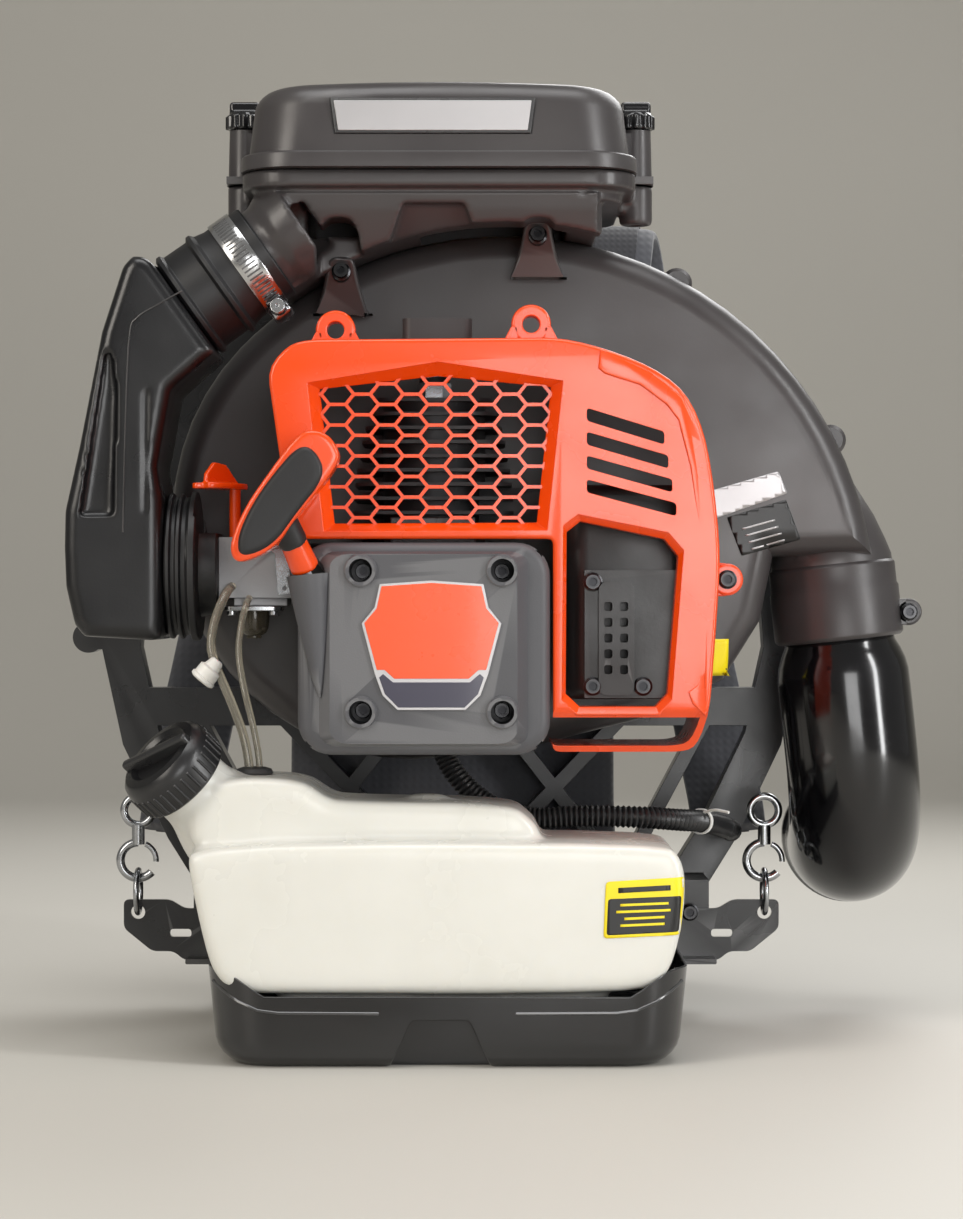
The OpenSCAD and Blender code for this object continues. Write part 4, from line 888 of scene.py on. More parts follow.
@dataclass
class Starter:
    """The recoil starter with its badge, rope and handle."""

    face: float = -130.0
    back: float = -88.0
    pull: Vector = field(default_factory=lambda: Vector((-0.36, -0.42, 0.83)).normalized())
    guide: Vector = field(default_factory=lambda: CRANK + Vector((-50, -112, 6)))

    def cover(self) -> None:
        """Builds the cover: a body with sloped flanks, a raised panel, four deep bosses and the rope guide."""
        bm = bmesh.new()
        mid = (CRANK.x - 4, CRANK.z - 3.7)
        body = block(bm, (mid[0] - 63.5, self.face + 6, mid[1] - 53.5), (mid[0] + 63.5, self.back, mid[1] + 53.5))
        round_edges(bm, edges_of(body, lambda a, b: abs(a.y - b.y) > 1), 17, 8)
        round_edges(bm, [e for e in bm.edges if at_y(self.face + 6)(e.verts[0].co, e.verts[1].co)], 6, 5)
        panel = bmesh.new()
        raised = block(panel, (mid[0] - 58, self.face + 0.0, mid[1] - 50.5),
                       (mid[0] + 58, self.face + 12, mid[1] + 50.5))
        for v in raised:
            if v.co.y < self.face + 1:
                v.co.x = mid[0] + (47 if v.co.x > mid[0] else -47)
                v.co.z = mid[1] + (47.5 if v.co.z > mid[1] else -47.5)
        round_edges(panel, edges_of(raised, lambda a, b: abs(a.y - b.y) > 1), 7, 5)
        bosses = []
        for x in (-35.5, 35.5):
            for z in (-35.5, 35.5):
                boss = bmesh.new()
                lathe(boss, [(0, 0), (8.6, 0), (8.3, 16), (7.6, 16.8), (0, 16.8)], (CRANK.x + x, self.face + 14.6,
                                                                                 CRANK.z + z), (0, -1, 0), 36)
                bosses.append(boss)
        horn = bmesh.new()
        tip = Vector((-64, self.face + 4, 184))
        root = self.guide + self.pull * 33
        loops = []
        for i in range(9):
            t = i / 8
            p = tip.lerp(root, t)
            r = 0.6 + 10.4 * t ** 0.75
            way = (root - tip).normalized()
            u = way.cross(Vector((0, 1, 0))).normalized()
            w = u.cross(way).normalized()
            loops.append([p + u * (r * math.cos(math.tau * k / 24)) + w * (r * 0.9 * math.sin(math.tau * k / 24))
                          for k in range(24)])
        bridge(horn, loops)
        bm = cut(bm, [panel] + bosses + [horn], "UNION")
        holes = []
        for x in (-35.5, 35.5):
            for z in (-35.5, 35.5):
                hole = bmesh.new()
                lathe(hole, [(0, 0), (5.9, 0), (5.9, 45), (0, 45)], (CRANK.x + x, self.face + 36, CRANK.z + z),
                      (0, -1, 0), 32)
                holes.append(hole)
        room = bmesh.new()
        lathe(room, [(0, 28), (8.6, 28), (8.6, 80), (0, 80)], self.guide, self.pull, 32)
        hollow = bmesh.new()
        block(hollow, (mid[0] - 59.5, self.face + 9, mid[1] - 49.5), (mid[0] + 59.5, self.back + 4, mid[1] + 49.5))
        bm = cut(bm, holes + [room, hollow])
        sleeves = bmesh.new()
        for x in (-35.5, 35.5):
            for z in (-35.5, 35.5):
                lathe(sleeves, [(5.9, 8), (8.2, 8), (8.2, 37.6), (2.9, 37.6), (2.9, 33.9), (5.9, 33.9)],
                      (CRANK.x + x, self.face, CRANK.z + z), (0, 1, 0), 32, closed=True)
        finish_piece("starter_boss_sleeves", sleeves, STARTER)
        finish_piece("starter_cover_moulding", bm, STARTER, replaces=["starter_cover"],
                     bevel=1.3, angle=26)

    def badge(self) -> None:
        """Builds the blank shield: a pale rim, an orange field and a violet foot."""
        rim = [(-17, -34.3), (17, -34.3), (24.5, -27), (28.5, -16), (35, 9), (28.5, 17), (26, 28.7), (0, 30.5),
               (-26, 28.7), (-28.5, 17), (-35, 9), (-28.5, -16), (-24.5, -27)]
        top = [(-27.3, -14.2), (-23.5, -14.2), (-18.6, -18.6), (18.6, -18.6), (23.5, -14.2), (27.3, -14.2),
               (33.6, 9.2), (27.4, 16.6), (25.0, 27.6), (0, 29.3), (-25.0, 27.6), (-27.4, 16.6), (-33.6, 9.2)]
        foot = [(-16.6, -33.0), (16.6, -33.0), (23.2, -26.3), (26.2, -18.0), (24.2, -16.2), (19.2, -20.4),
                (-19.2, -20.4), (-24.2, -16.2), (-26.2, -18.0), (-23.2, -26.3)]
        for name, pts, y, finish in (("badge_rim", rim, 1.2, SILVER), ("badge_field", top, 1.5, BADGE_ORANGE),
                                     ("badge_foot", foot, 1.5, BADGE_VIOLET)):
            bm = bmesh.new()
            prism(bm, shifted(pts), self.face - y, self.face + 0.3)
            finish_piece(name, bm, finish, replaces=["badge"] if name == "badge_rim" else (),
                         bevel=0.25, segments=2)

    def handle(self) -> None:
        """Builds the T handle: an orange shell round a dark soft grip, a stem and an orange ferrule."""
        mid_y = self.guide.y + 36 * self.pull.y - 9 - 2
        shell = [(-94.3, 38.5), (-77, 46.4), (-66.1, 62.7), (-44.4, 88.9), (-47, 98), (-52.3, 103.7), (-62, 105.5),
                 (-70, 98), (-79.5, 84.9), (-91.8, 67.6), (-99.2, 50.3), (-99, 42)]
        grip = [(-94.5, 40.8), (-77.8, 47.4), (-66.6, 63.4), (-51.6, 82.0), (-56.0, 94.0), (-64.5, 98.5),
                (-77.8, 83.8), (-89.6, 66.8), (-96.4, 50.6)]
        bm = bmesh.new()
        prism(bm, soften(shifted(shell), 2), mid_y - 10, mid_y + 11)
        stem = bmesh.new()
        ferrule = self.guide + self.pull * 36
        lathe(stem, [(0, 0.5), (7.2, 0.5), (7.5, 2), (6.8, 15), (6.0, 34), (0, 34)], ferrule, self.pull, 28)
        bm = cut(bm, [stem], "UNION")
        finish_piece("handle_shell", bm, ORANGE, "handle", ["starter_handle"], voxel=1.1, smooth=5)
        bm = bmesh.new()
        face = prism(bm, soften(shifted(grip), 2), mid_y - 12.2, mid_y - 4)
        round_edges(bm, edges_of(face, at_y(mid_y - 12.2)), 3.0, 5)
        soft = bmesh.new()
        lathe(soft, [(0, 15), (7.1, 15), (7.4, 17), (6.9, 36), (0, 36)], ferrule + Vector((0, -0.6, 0)), self.pull, 28)
        bm = cut(bm, [soft], "UNION")
        finish_piece("handle_soft_grip", bm, RUBBER, "handle", voxel=1.0, smooth=5)

    def rope(self) -> None:
        """Builds the short length of rope between the guide and the ferrule."""
        route = [self.guide + self.pull * t for t in range(-2, 43, 2)]
        bm = bmesh.new()
        tube(bm, route, lambda i: 2.0 + 0.12 * (i % 2), 12)
        made = object_from(bm, "starter_rope_braid")
        made.data.shade_smooth()
        made.data.materials.append(ROPE.material())
        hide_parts("starter_rope")
        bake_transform(made)
        LOG.info("starter_rope_braid: 44 mm shown")

    def build(self) -> None:
        """Builds the starter and dresses its inner parts."""
        self.cover()
        self.badge()
        self.handle()
        self.rope()
        dress("starter_reel", BLACK_SATIN)
        dress("recoil_spring", ZINC)


@dataclass
class EngineCover:
    """The orange engine cover with its honeycomb, slots and muffler window."""

    front: float = -120.0
    back: float = -25.0
    wall: float = 2.6
    cell: float = 16.6
    cell_high: float = 10.4
    rib: float = 1.7

    def outline(self) -> list[Pair]:
        """Gives the cover's outline above the ground."""
        corners = [(61, -56.3), (126, -56.3), (134, -54), (140, -35), (143.5, 10.7), (145.5, 43.7), (142.5, 76),
                   (137.4, 105.6), (128, 126), (110.5, 138.6), (86, 148), (65, 153), (-63, 152), (-73, 149),
                   (-83, 137), (-70.7, 51.5), (61, 51.5)]
        return shifted(rounded(corners, [4, 5, 8, 12, 14, 14, 14, 12, 12, 14, 14, 10, 8, 8, 8, 5, 3], 3))

    def window(self) -> list[Pair]:
        """Gives the honeycomb window's outline."""
        return shifted([(-49.2, 59.5), (52.9, 60), (60, 128.4), (3.1, 134), (-56.7, 127.4)])

    def muffler_window(self) -> list[Pair]:
        """Gives the outline of the window in front of the muffler."""
        return shifted([(67.5, -26.5), (74.5, -33), (112.8, -33), (118.8, -26.5), (124.3, 43), (117.3, 51.5),
                        (75, 60.5), (68, 55)])

    def slots(self) -> list[list[Pair]]:
        """Gives the four sloping slots."""
        return [shifted([(x, z - 12 * i) for x, z in [(78, 111), (117 + 2 * i, 99), (117 + 2 * i, 105.5),
                                                      (78, 117.5)]]) for i in range(4)]

    def well(self, name: str, pts: Sequence[Pair], spread: float, depth: float, keep: float) -> None:
        """Builds the sloped wall that leads from the cover's face down to an opening."""
        wide = grown(pts, spread)
        loops = [[Vector((x, y, z)) for x, z in outline] for outline, y in (
            (wide, self.front + 0.3), (grown(pts, 0.8), self.front + depth - 0.8), (pts, self.front + depth),
            (pts, self.front + depth + keep), (grown(pts, 2.0), self.front + depth + keep),
            (grown(wide, 1.6), self.front + 2.6))]
        bm = bmesh.new()
        bridge(bm, loops, ring=True)
        finish_piece(name, bm, ORANGE, bevel=0.7, angle=24)

    def shell(self) -> None:
        """Builds the moulded shell with rounded shoulders and its openings."""
        bm = bmesh.new()
        prism(bm, self.outline(), self.front, self.back)
        cutplane = bmesh.ops.bisect_plane(bm, geom=bm.verts[:] + bm.edges[:] + bm.faces[:],
                                          plane_co=Vector((80, self.front, CRANK.z - 35)),
                                          plane_no=Vector((0, -20.0, -15.0)).normalized(), clear_outer=True)
        bmesh.ops.contextual_create(bm, geom=[e for e in cutplane["geom_cut"] if isinstance(e, bmesh.types.BMEdge)])
        round_edges(bm, [e for e in bm.edges if at_y(self.front)(e.verts[0].co, e.verts[1].co)], 7.5, 6)
        hollow = bmesh.new()
        inner = grown(self.outline(), 0.0)
        prism(hollow, [(x + (CRANK.x + 20 - x) * 0.024, z + (CRANK.z + 50 - z) * 0.03) for x, z in inner],
              self.front + self.wall, self.back + 2)
        tools = [hollow]
        for pts, spread in [(self.window(), 7.0), (self.muffler_window(), 4.0)]:
            tool = bmesh.new()
            prism(tool, grown(pts, spread - 0.2), self.front - 2, self.front + 12)
            tools.append(tool)
        for pts in self.slots():
            tool = bmesh.new()
            side = prism(tool, pts, self.front - 2, self.front + 12)
            round_edges(tool, edges_of(side, lambda a, b: abs(a.y - b.y) > 1), 1.6, 3)
            tools.append(tool)
        for low, high in (((-74, -90, 242), (44, 10, 272)), ((-68, -90, 252), (54, 10, 266)),
                          ((-28, -77, 352), (16, -17, 382))):
            tool = bmesh.new()
            block(tool, low, high)
            tools.append(tool)
        bm = cut(bm, tools)
        finish_piece("engine_cover_shell", bm, ORANGE, replaces=["engine_cover"], bevel=1.0,
                     angle=30)

    def tabs(self) -> None:
        """Builds the two top tabs with their deep eyes, and the ear on the right."""
        for i, (x, z) in enumerate(((-57.7, 371), (42.4, 374))):
            bm = bmesh.new()
            lathe(bm, [(4.4, -8), (4.4, 5), (9.2, 5), (10.2, 4), (10.2, -7), (9.2, -8)], (x, -88, z), (0, -1, 0), 36,
                  closed=True)
            for s in (-1, 1):
                prism(bm, [(x + s * 6.6, z - 1), (x + s * 10.2, z - 1), (x + s * 17, z - 14), (x + s * 6.6, z - 14)],
                      -93, -80)
            finish_piece(f"cover_tab_{i + 1}", bm, ORANGE, bevel=0.8)
        bm = bmesh.new()
        lathe(bm, [(2.8, -8), (2.8, 1.5), (4.2, 2.6), (7.2, 2.6), (8.2, 1.6), (8.2, -8)], (142.5, -94, 243.3),
              (0, -1, 0), 36, closed=True)
        finish_piece("cover_ear", bm, ORANGE, bevel=0.5)
        bm = bmesh.new()
        prism(bm, [(131, 234.5), (142.5, 234.9), (142.5, 237.2), (137, 239), (137, 248), (142.5, 249.6), (142.5, 251.6),
                   (131, 252.5)], -94, -86)
        finish_piece("cover_ear_web", bm, ORANGE, bevel=0.8)

    def honeycomb(self) -> None:
        """Builds the honeycomb by insetting flat-topped cells and clipping them to the window."""
        squeeze = self.cell_high / (self.cell * math.sqrt(3) / 2)
        bm = bmesh.new()
        upright_turn = Matrix.Rotation(math.pi / 2, 4, "X")
        for i in range(-6, 7):
            for j in range(-1, 10):
                x = CRANK.x + 2 + 0.75 * self.cell * i
                z = CRANK.z + 52 + self.cell_high * (j + (0 if i % 2 == 0 else 0.5))
                flatten = Matrix.Diagonal((1, 1, squeeze, 1))
                place = Matrix.Translation((x, self.front + 6.5, z)) @ flatten @ upright_turn
                bmesh.ops.create_circle(bm, cap_ends=True, radius=self.cell / 2, segments=6,
                                        matrix=place @ Matrix.Rotation(math.pi / 6, 4, "Z"))
        cells = bm.faces[:]
        bmesh.ops.inset_individual(bm, faces=cells, thickness=self.rib / 2, use_even_offset=True)
        bmesh.ops.delete(bm, geom=cells, context="FACES")
        bmesh.ops.remove_doubles(bm, verts=bm.verts, dist=0.05)
        pts = grown(self.window(), 1.2)
        for a, b in zip(pts, pts[1:] + pts[:1]):
            along = Vector((b[0] - a[0], 0, b[1] - a[1]))
            bmesh.ops.bisect_plane(bm, geom=bm.verts[:] + bm.edges[:] + bm.faces[:], plane_co=Vector((a[0], 0, a[1])),
                                   plane_no=Vector((along.z, 0, -along.x)), clear_outer=True)
        made = bmesh.ops.extrude_face_region(bm, geom=bm.faces[:])["geom"]
        bmesh.ops.translate(bm, vec=(0, 3.4, 0), verts=[v for v in made if isinstance(v, bmesh.types.BMVert)])
        finish_piece("cover_honeycomb", bm, ORANGE, bevel=0.35, segments=2)

    def spoiler(self) -> None:
        """Builds the stepped band that runs down the cover's right side."""
        band = shifted([(84.6, 146.5), (83.6, 137.5), (87, 134.5), (104.7, 129), (118, 119), (123.9, 111.3),
                        (130, 88), (134, 61), (135.8, 30), (136.5, 0.7), (133.5, -22), (129, -25.5), (131, -31.5),
                        (138, -38), (140.6, -28), (141.6, 10), (143.4, 43), (140.4, 74), (135.6, 103), (126.2, 123),
                        (109.6, 135.6), (96, 142)])
        bm = bmesh.new()
        side = prism(bm, band, self.front - 1.1, self.front + 7)
        round_edges(bm, edges_of(side, at_y(self.front - 1.1)), 1.0, 3)
        for v in bm.verts:
            reach = max(0.0, v.co.x - (CRANK.x + 128 if v.co.z > 180 else 300))
            v.co.y += min(6.0, 0.022 * reach * reach)
        finish_piece("cover_step_band", bm, ORANGE, angle=28)

    def build(self) -> None:
        """Builds the cover's pieces."""
        self.shell()
        self.well("cover_honeycomb_well", self.window(), 7.0, 7.5, 3.0)
        self.well("cover_muffler_well", self.muffler_window(), 4.0, 4.0, 14.0)
        self.tabs()
        self.honeycomb()
        self.spoiler()


@dataclass
class Intake:
    """The carburettor side: ring, duct, collar, clamp and the small levers."""

    spigot: Vector = field(default_factory=lambda: Vector((0.815, 0, 0.579)).normalized())
    mouth: Vector = field(default_factory=lambda: CRANK + Vector((-121, -35, 183)))

    def ring(self) -> None:
        """Builds the ribbed intake ring with its flange."""
        profile = [(30, -12), (37, -12), (38.4, -11), (38.4, -9.4), (36.4, -8.4), (36.4, -6.6), (38.4, -5.8),
                   (38.4, -4.2), (36.4, -3.2), (36.4, -1.2), (37.6, 0), (39.5, 0.4), (39.5, 3.6), (38.6, 4.4), (27, 5),
                   (26, 8), (26, 14), (20, 15), (9, 15), (9, 2), (30, 2)]
        bm = bmesh.new()
        lathe(bm, profile, (-136, -35, 251), (1, 0, 0), 64, closed=True)
        shave = bmesh.new()
        block(shave, (-133, -65, 268), (-113, -5, 300))
        bm = cut(bm, [shave])
        finish_piece("intake_ring_moulding", bm, RUBBER, replaces=["intake_ring"], bevel=0.4)

    def duct(self) -> None:
        """Builds the tall moulded duct, with its facets, its side blister and the neck under the collar."""
        outline = shifted([(-146, 0), (-141, 1), (-140.4, 12), (-140.4, 74), (-143, 90), (-136, 130), (-113, 150),
                           (-146, 196),
                           (-150, 199), (-156, 199.5), (-161, 194), (-172, 160), (-183.5, 101), (-191, 67),
                           (-191.4, 48),
                           (-190.6, 28), (-186, 8), (-181, 2)])
        bm = bmesh.new()
        side = prism(bm, outline, -75, -1)
        round_edges(bm, edges_of(side, at_y(-75)), 6.5, 4)
        neck = bmesh.new()
        lathe(neck, [(0, 0), (25.9, 0), (25.9, 34.5), (0, 34.5)], CRANK + Vector((-150, -35, 162.4)), self.spigot, 48)
        bm = cut(bm, [neck], "UNION")
        blister = bmesh.new()
        prism(blister, shifted([(-183, 64), (-166, 64.5), (-163.5, 128), (-166.5, 150), (-169.6, 152)]), -80, -70.5)
        fin = bmesh.new()
        prism(fin, shifted([(-150.5, 66), (-148, 66), (-147, 132), (-150.5, 128)]), -80, -73)
        bm = cut(bm, [blister, fin])
        finish_piece("air_duct_moulding", bm, BLACK_SATIN, replaces=["air_duct"], voxel=1.5,
                     smooth=5)
        bm = bmesh.new()
        route = curve_through([(-168.5, -75.2, 268), (-167, -75.3, 330), (-165, -75.4, 370), (-161, -75.5, 379),
                               (-150, -75.2, 386), (-138, -73.8, 393)], 6)
        tube(bm, route, 0.45, 8)
        finish_piece("air_duct_parting_line", bm, BLACK_SATIN)

    def collar(self) -> None:
        """Builds the rubber collar, and the clamp with its slotted band, housing and screw."""
        bm = bmesh.new()
        lathe(bm, [(26, -12), (28.4, -12), (30.4, -10.5), (30.4, -8.5), (28.4, -7), (28.2, 7), (30.4, 8.5),
                   (30.4, 10.5),
                   (28.2, 12.5), (27.0, 18), (27.0, 39), (26.0, 40), (24.2, 40), (24.2, 10), (22.2, 9), (22.2, 1),
                   (26, 0)], self.mouth, self.spigot, 56, closed=True)
        finish_piece("duct_collar_moulding", bm, RUBBER, replaces=["duct_collar"], bevel=0.3)
        start = self.mouth + self.spigot * 21
        bm = bmesh.new()
        lathe(bm, [(27.1, 0), (28.0, 0), (28.2, 0.4), (28.2, 12.3), (28.0, 12.7), (27.1, 12.7)], start, self.spigot, 72,
              closed=True)
        finish_piece("clamp_band", bm, STAINLESS, replaces=["hose_clamp"])
        u = Vector((0, -1, 0))
        w = self.spigot.cross(u).normalized()
        bm = bmesh.new()
        for i in range(26):
            a = math.radians(-62 + 5.0 * i)
            way = u * math.cos(a) + w * math.sin(a)
            turn = Matrix((way.cross(self.spigot), way, self.spigot)).transposed()
            place = Matrix.LocRotScale(start + way * 28.1 + self.spigot * 6.35, turn, Vector((0.95, 0.5, 8.2)))
            bmesh.ops.create_cube(bm, size=1.0, matrix=place)
        finish_piece("clamp_band_slots", bm, BLACK_SATIN)
        a = math.radians(-78)
        for s in (-78.0,):
            a = math.radians(s if w.z < 0 else -s)
        way = u * math.cos(a) + w * math.sin(a)
        if way.z > 0:
            way = u * math.cos(-a) + w * math.sin(-a)
        side = way.cross(self.spigot).normalized()
        bm = bmesh.new()
        at = start + way * 32.4 + self.spigot * 6.35
        turn = Matrix((side, way, self.spigot)).transposed()
        shell = bmesh.ops.create_cube(bm, size=1.0, matrix=Matrix.LocRotScale(at, turn, Vector((13, 7.6, 11.5))))
        round_edges(bm, {e for v in shell["verts"] for e in v.link_edges}, 2.2, 3)
        lathe(bm, [(0, -9), (3.0, -9), (3.4, -8), (3.4, 8), (4.4, 8.2), (4.6, 9), (4.6, 12.5), (3.9, 13.4), (1.0, 13.4),
                   (0.8, 12.2), (0, 12.2)], at, side, 12)
        finish_piece("clamp_housing_screw", bm, ZINC, bevel=0.3)

    def levers(self) -> None:
        """Builds the heart-shaped choke tab with its fin, and the primer."""
        at = CRANK + Vector((-105, -42, 54))
        bm = bmesh.new()
        lathe(bm, [(0, -7), (2.95, -7), (2.95, 25), (3.4, 26), (0, 26)], at, (0, 0, 1), 24)
        finish_piece("choke_spindle", bm, ORANGE, "choke", ["choke_lever"])
        bm = bmesh.new()
        turn = Matrix.Rotation(math.radians(-30), 4, "Z")
        heart = soften([(-7, 4), (0, 7), (7, 4), (11.5, -12), (9.5, -26), (4.5, -32), (0, -27.5), (-4.5, -32),
                        (-9.5, -26), (-11.5, -12)], 2)
        raise_outline(bm, [at + turn @ Vector((x, y, 25)) for x, y in heart], Vector((0, 0, 3)))
        fin = ((4, 27), (-28, 27), (-27, 33), (-20, 39), (-10, 38), (0, 30))
        raise_outline(bm, [at + turn @ Vector((-1.4, y, z)) for y, z in fin], turn @ Vector((2.8, 0, 0)))
        finish_piece("choke_heart_tab", bm, ORANGE, "choke", voxel=0.7, smooth=4)
        bm = bmesh.new()
        lathe(bm, [(0, 0), (4.5, 0), (6.6, 1.6), (7.8, 4.4), (8.1, 9), (8.1, 13), (6.6, 13), (6.6, 9), (6.2, 5),
                   (4.6, 3),
                   (0, 2.2)], (-103, -41, 214.4), (0, 0, 1), 40)
        primer = finish_piece("primer_bulb_dome", bm, SMOKED, replaces=["primer_bulb"])
        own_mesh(primer)
        dress("primer_tip", SMOKED, 0.4)
        bm = bmesh.new()
        plate = block(bm, (-118, -54, 227.4), (-88, -22, 229.6))
        round_edges(bm, edges_of(plate, upright), 4, 4)
        for x in (-114, -92):
            lathe(bm, [(0, -2.6), (2.2, -2.6), (2.6, -2.2), (2.6, 0), (0, 0)], (x, -50, 227.4), (0, 0, 1), 20)
        finish_piece("primer_plate_pressing", bm, ZINC, replaces=["primer_plate"], bevel=0.4)

    def build(self) -> None:
        """Builds the intake side and dresses the carburettor."""
        self.ring()
        self.duct()
        self.collar()
        self.levers()
        dress("carburettor", CAST, 0.6)
        dress("insulator", BLACK_SATIN)
        dress("throttle_lever", ZINC, 0.3)


@dataclass
class AirCleaner:
    """The air cleaner on top: base, lid, name plate and two knobs."""

    mid_x: float = -5.5
    mid_y: float = 14.0
    rim: float = 458.3
    top: float = 504.3
    tower: float = 30.0
    lug_x: float = 106.5

    def lid(self) -> None:
        """Builds the lid: a tapered, crowned body over a stepped rim, with a tower at each end."""
        x0, x1, y0, y1 = self.mid_x - 101, self.mid_x + 101, self.mid_y - 82, self.mid_y + 82
        bm = bmesh.new()
        body = block(bm, (x0, y0, self.rim + 3), (x1, y1, self.top - 3.5))
        for v in body:
            if v.co.z > self.top - 10:
                v.co.x = self.mid_x + (v.co.x - self.mid_x) * 0.955
                v.co.y = self.mid_y + (v.co.y - self.mid_y) * 0.955
        round_edges(bm, edges_of(body, lambda a, b: abs(a.z - b.z) > 1), 30, 9)
        round_edges(bm, [e for e in bm.edges if at_z(self.top - 3.5)(e.verts[0].co, e.verts[1].co)], 11, 6)
        across = [e for e in bm.edges if abs(e.verts[0].co.x - e.verts[1].co.x) > 60 and min(
            e.verts[0].co.z, e.verts[1].co.z) > self.rim]
        bmesh.ops.subdivide_edges(bm, edges=across, cuts=11, use_grid_fill=True)
        for v in bm.verts:
            if v.co.z > self.rim + 20:
                v.co.z += 3.5 * (1 - ((v.co.x - self.mid_x) / 101) ** 2) * min(1, (v.co.z - self.rim - 20) / 20)
        flange = bmesh.new()
        edge = block(flange, (x0 - 3.5, y0 - 1, self.rim), (x1 + 3.5, y1 + 1, self.rim + 8.5))
        round_edges(flange, edges_of(edge, upright), 31, 9)
        round_edges(flange, [e for e in flange.edges if at_z(self.rim + 8.5)(e.verts[0].co, e.verts[1].co)], 2.2, 3)
        towers = []
        for s in (-1, 1):
            tower = bmesh.new()
            x = self.mid_x + s * self.lug_x
            lathe(tower, [(0, 0), (9.6, 0), (9.6, 2.5), (8.8, 4), (8.2, self.tower), (0, self.tower)],
                  (x, self.mid_y, self.rim), (0, 0, 1), 32)
            block(tower, (x - 9, self.mid_y - 13, self.rim), (x + 9, self.mid_y + 13, self.rim + 4))
            towers.append(tower)
            side = bmesh.new()
            block(side, (min(x, x - s * 14), self.mid_y - 8, self.rim),
                  (max(x, x - s * 14), self.mid_y + 8, self.rim + self.tower - 2))
            towers.append(side)
        bm = cut(bm, [flange] + towers, "UNION")
        seat = bmesh.new()
        prism(seat, [(self.mid_x - 54.5, 475.2), (self.mid_x + 48.8, 475.2), (self.mid_x + 51, 494.4),
                     (self.mid_x - 56.8, 494.4)], y0 - 8, y0 + 3.4)
        bm = cut(bm, [seat])
        finish_piece("air_lid_moulding", bm, HOUSING, "lid", ["air_lid"], bevel=1.1, angle=26)
        bm = bmesh.new()
        prism(bm, [(self.mid_x - 52, 477), (self.mid_x + 46.5, 477), (self.mid_x + 48.6, 492.6),
                   (self.mid_x - 54.4, 492.6)], y0 + 0.1, y0 + 1.0)
        finish_piece("lid_name_plate", bm, SILVER, "lid", ["lid_plate"], bevel=0.4)
        bm = bmesh.new()
        prism(bm, [(self.mid_x - 53.6, 475.6), (self.mid_x + 48.1, 475.6), (self.mid_x + 50.4, 494.0),
                   (self.mid_x - 56.2, 494.0)], y0 + 0.6, y0 + 3.8)
        finish_piece("lid_plate_frame", bm, BLACK_SATIN, "lid", bevel=0.5)

    def knob(self, side: int) -> None:
        """Builds one thumb knob: a fluted skirt with a raised wing."""
        x = self.mid_x + side * 106.5
        name = "left" if side < 0 else "right"
        z = self.rim + self.tower
        bm = bmesh.new()
        lathe(bm, [(0, 0.4), (8.6, 0.4), (9.2, 1.2), (9.0, 8.5), (7.6, 10.4), (0, 10.4)], (x, self.mid_y, z),
              (0, 0, 1), 32)
        for k in range(12):
            a = math.tau * k / 12
            lathe(bm, [(0, 1), (1.5, 1), (1.5, 8), (0, 8.6)],
                  (x + 9.0 * math.cos(a), self.mid_y + 9.0 * math.sin(a), z),
                  (0, 0, 1), 8)
        wing = block(bm, (x - 8.2, self.mid_y - 3.2, z + 7), (x + 8.2, self.mid_y + 3.2, z + 16))
        round_edges(bm, edges_of(wing, lambda a, b: True), 1.8, 3)
        lathe(bm, [(0, -38), (2.4, -38), (2.4, 1), (0, 1)], (x, self.mid_y, z), (0, 0, 1), 20)
        finish_piece(f"lid_knob_{name}", bm, BLACK_GLOSS, f"{name}_knob", [f"knob_{name}"], voxel=0.7,
                     smooth=2)

    def base(self) -> None:
        """Builds the base: a stepped rim, a pedestal with its arches and sunk middle, and the left spigot."""
        bm = bmesh.new()
        band = block(bm, (self.mid_x - 104, self.mid_y - 75, 449), (self.mid_x + 104, self.mid_y + 75, 458))
        round_edges(bm, edges_of(band, upright), 26, 8)
        step = bmesh.new()
        rim = block(step, (self.mid_x - 97, self.mid_y - 69, 443), (self.mid_x + 97, self.mid_y + 69, 450))
        round_edges(step, edges_of(rim, upright), 24, 8)
        pedestal = bmesh.new()
        profile = [(-56, 446), (-54, 438), (-44, 414), (-40, 396), (88, 396), (88, 446)]
        raise_outline(pedestal, [Vector((-92, y, z)) for y, z in profile], Vector((170, 0, 0)))
        spigot = bmesh.new()
        start = self.mouth()
        lathe(spigot, [(0, 19), (23.9, 19), (23.9, 44), (27, 50), (29, 62), (0, 62)], start[0], start[1], 40)
        lugs = []
        for s in (-1, 1):
            lug = bmesh.new()
            lathe(lug, [(0, 0), (8.4, 0), (9, 2), (9, 20.8), (0, 20.8)],
                  (self.mid_x + s * self.lug_x, self.mid_y, 437), (0, 0, 1),
                  28)
            lugs.append(lug)
            web = bmesh.new()
            block(web, (min(self.mid_x + s * 92, self.mid_x + s * 106), self.mid_y - 8, 444),
                  (max(self.mid_x + s * 92, self.mid_x + s * 106), self.mid_y + 8, 456))
            lugs.append(web)
        ribs = bmesh.new()
        for x in (-94.5, 75.5):
            block(ribs, (x, -47, 424), (x + 5, -30, 447))
        bm = cut(bm, [step, pedestal, spigot, ribs] + lugs, "UNION")
        arc = [(30 + 201.6 * math.cos(math.radians(a)), 230 + 201.6 * math.sin(math.radians(a)))
               for a in range(40, 141, 2)]
        seat = bmesh.new()
        prism(seat, arc + [(-124, 300), (184, 300)], -80, 110)
        tools = [seat]
        for x in (-58, 47):
            arch = bmesh.new()
            prism(arch, rounded([(x - 13.5, 385), (x - 11, 424), (x - 7, 434), (x + 7, 434), (x + 11, 424),
                                 (x + 13.5, 385)],
                                [0, 8, 8, 8, 8, 0]), -80, -22)
            tools.append(arch)
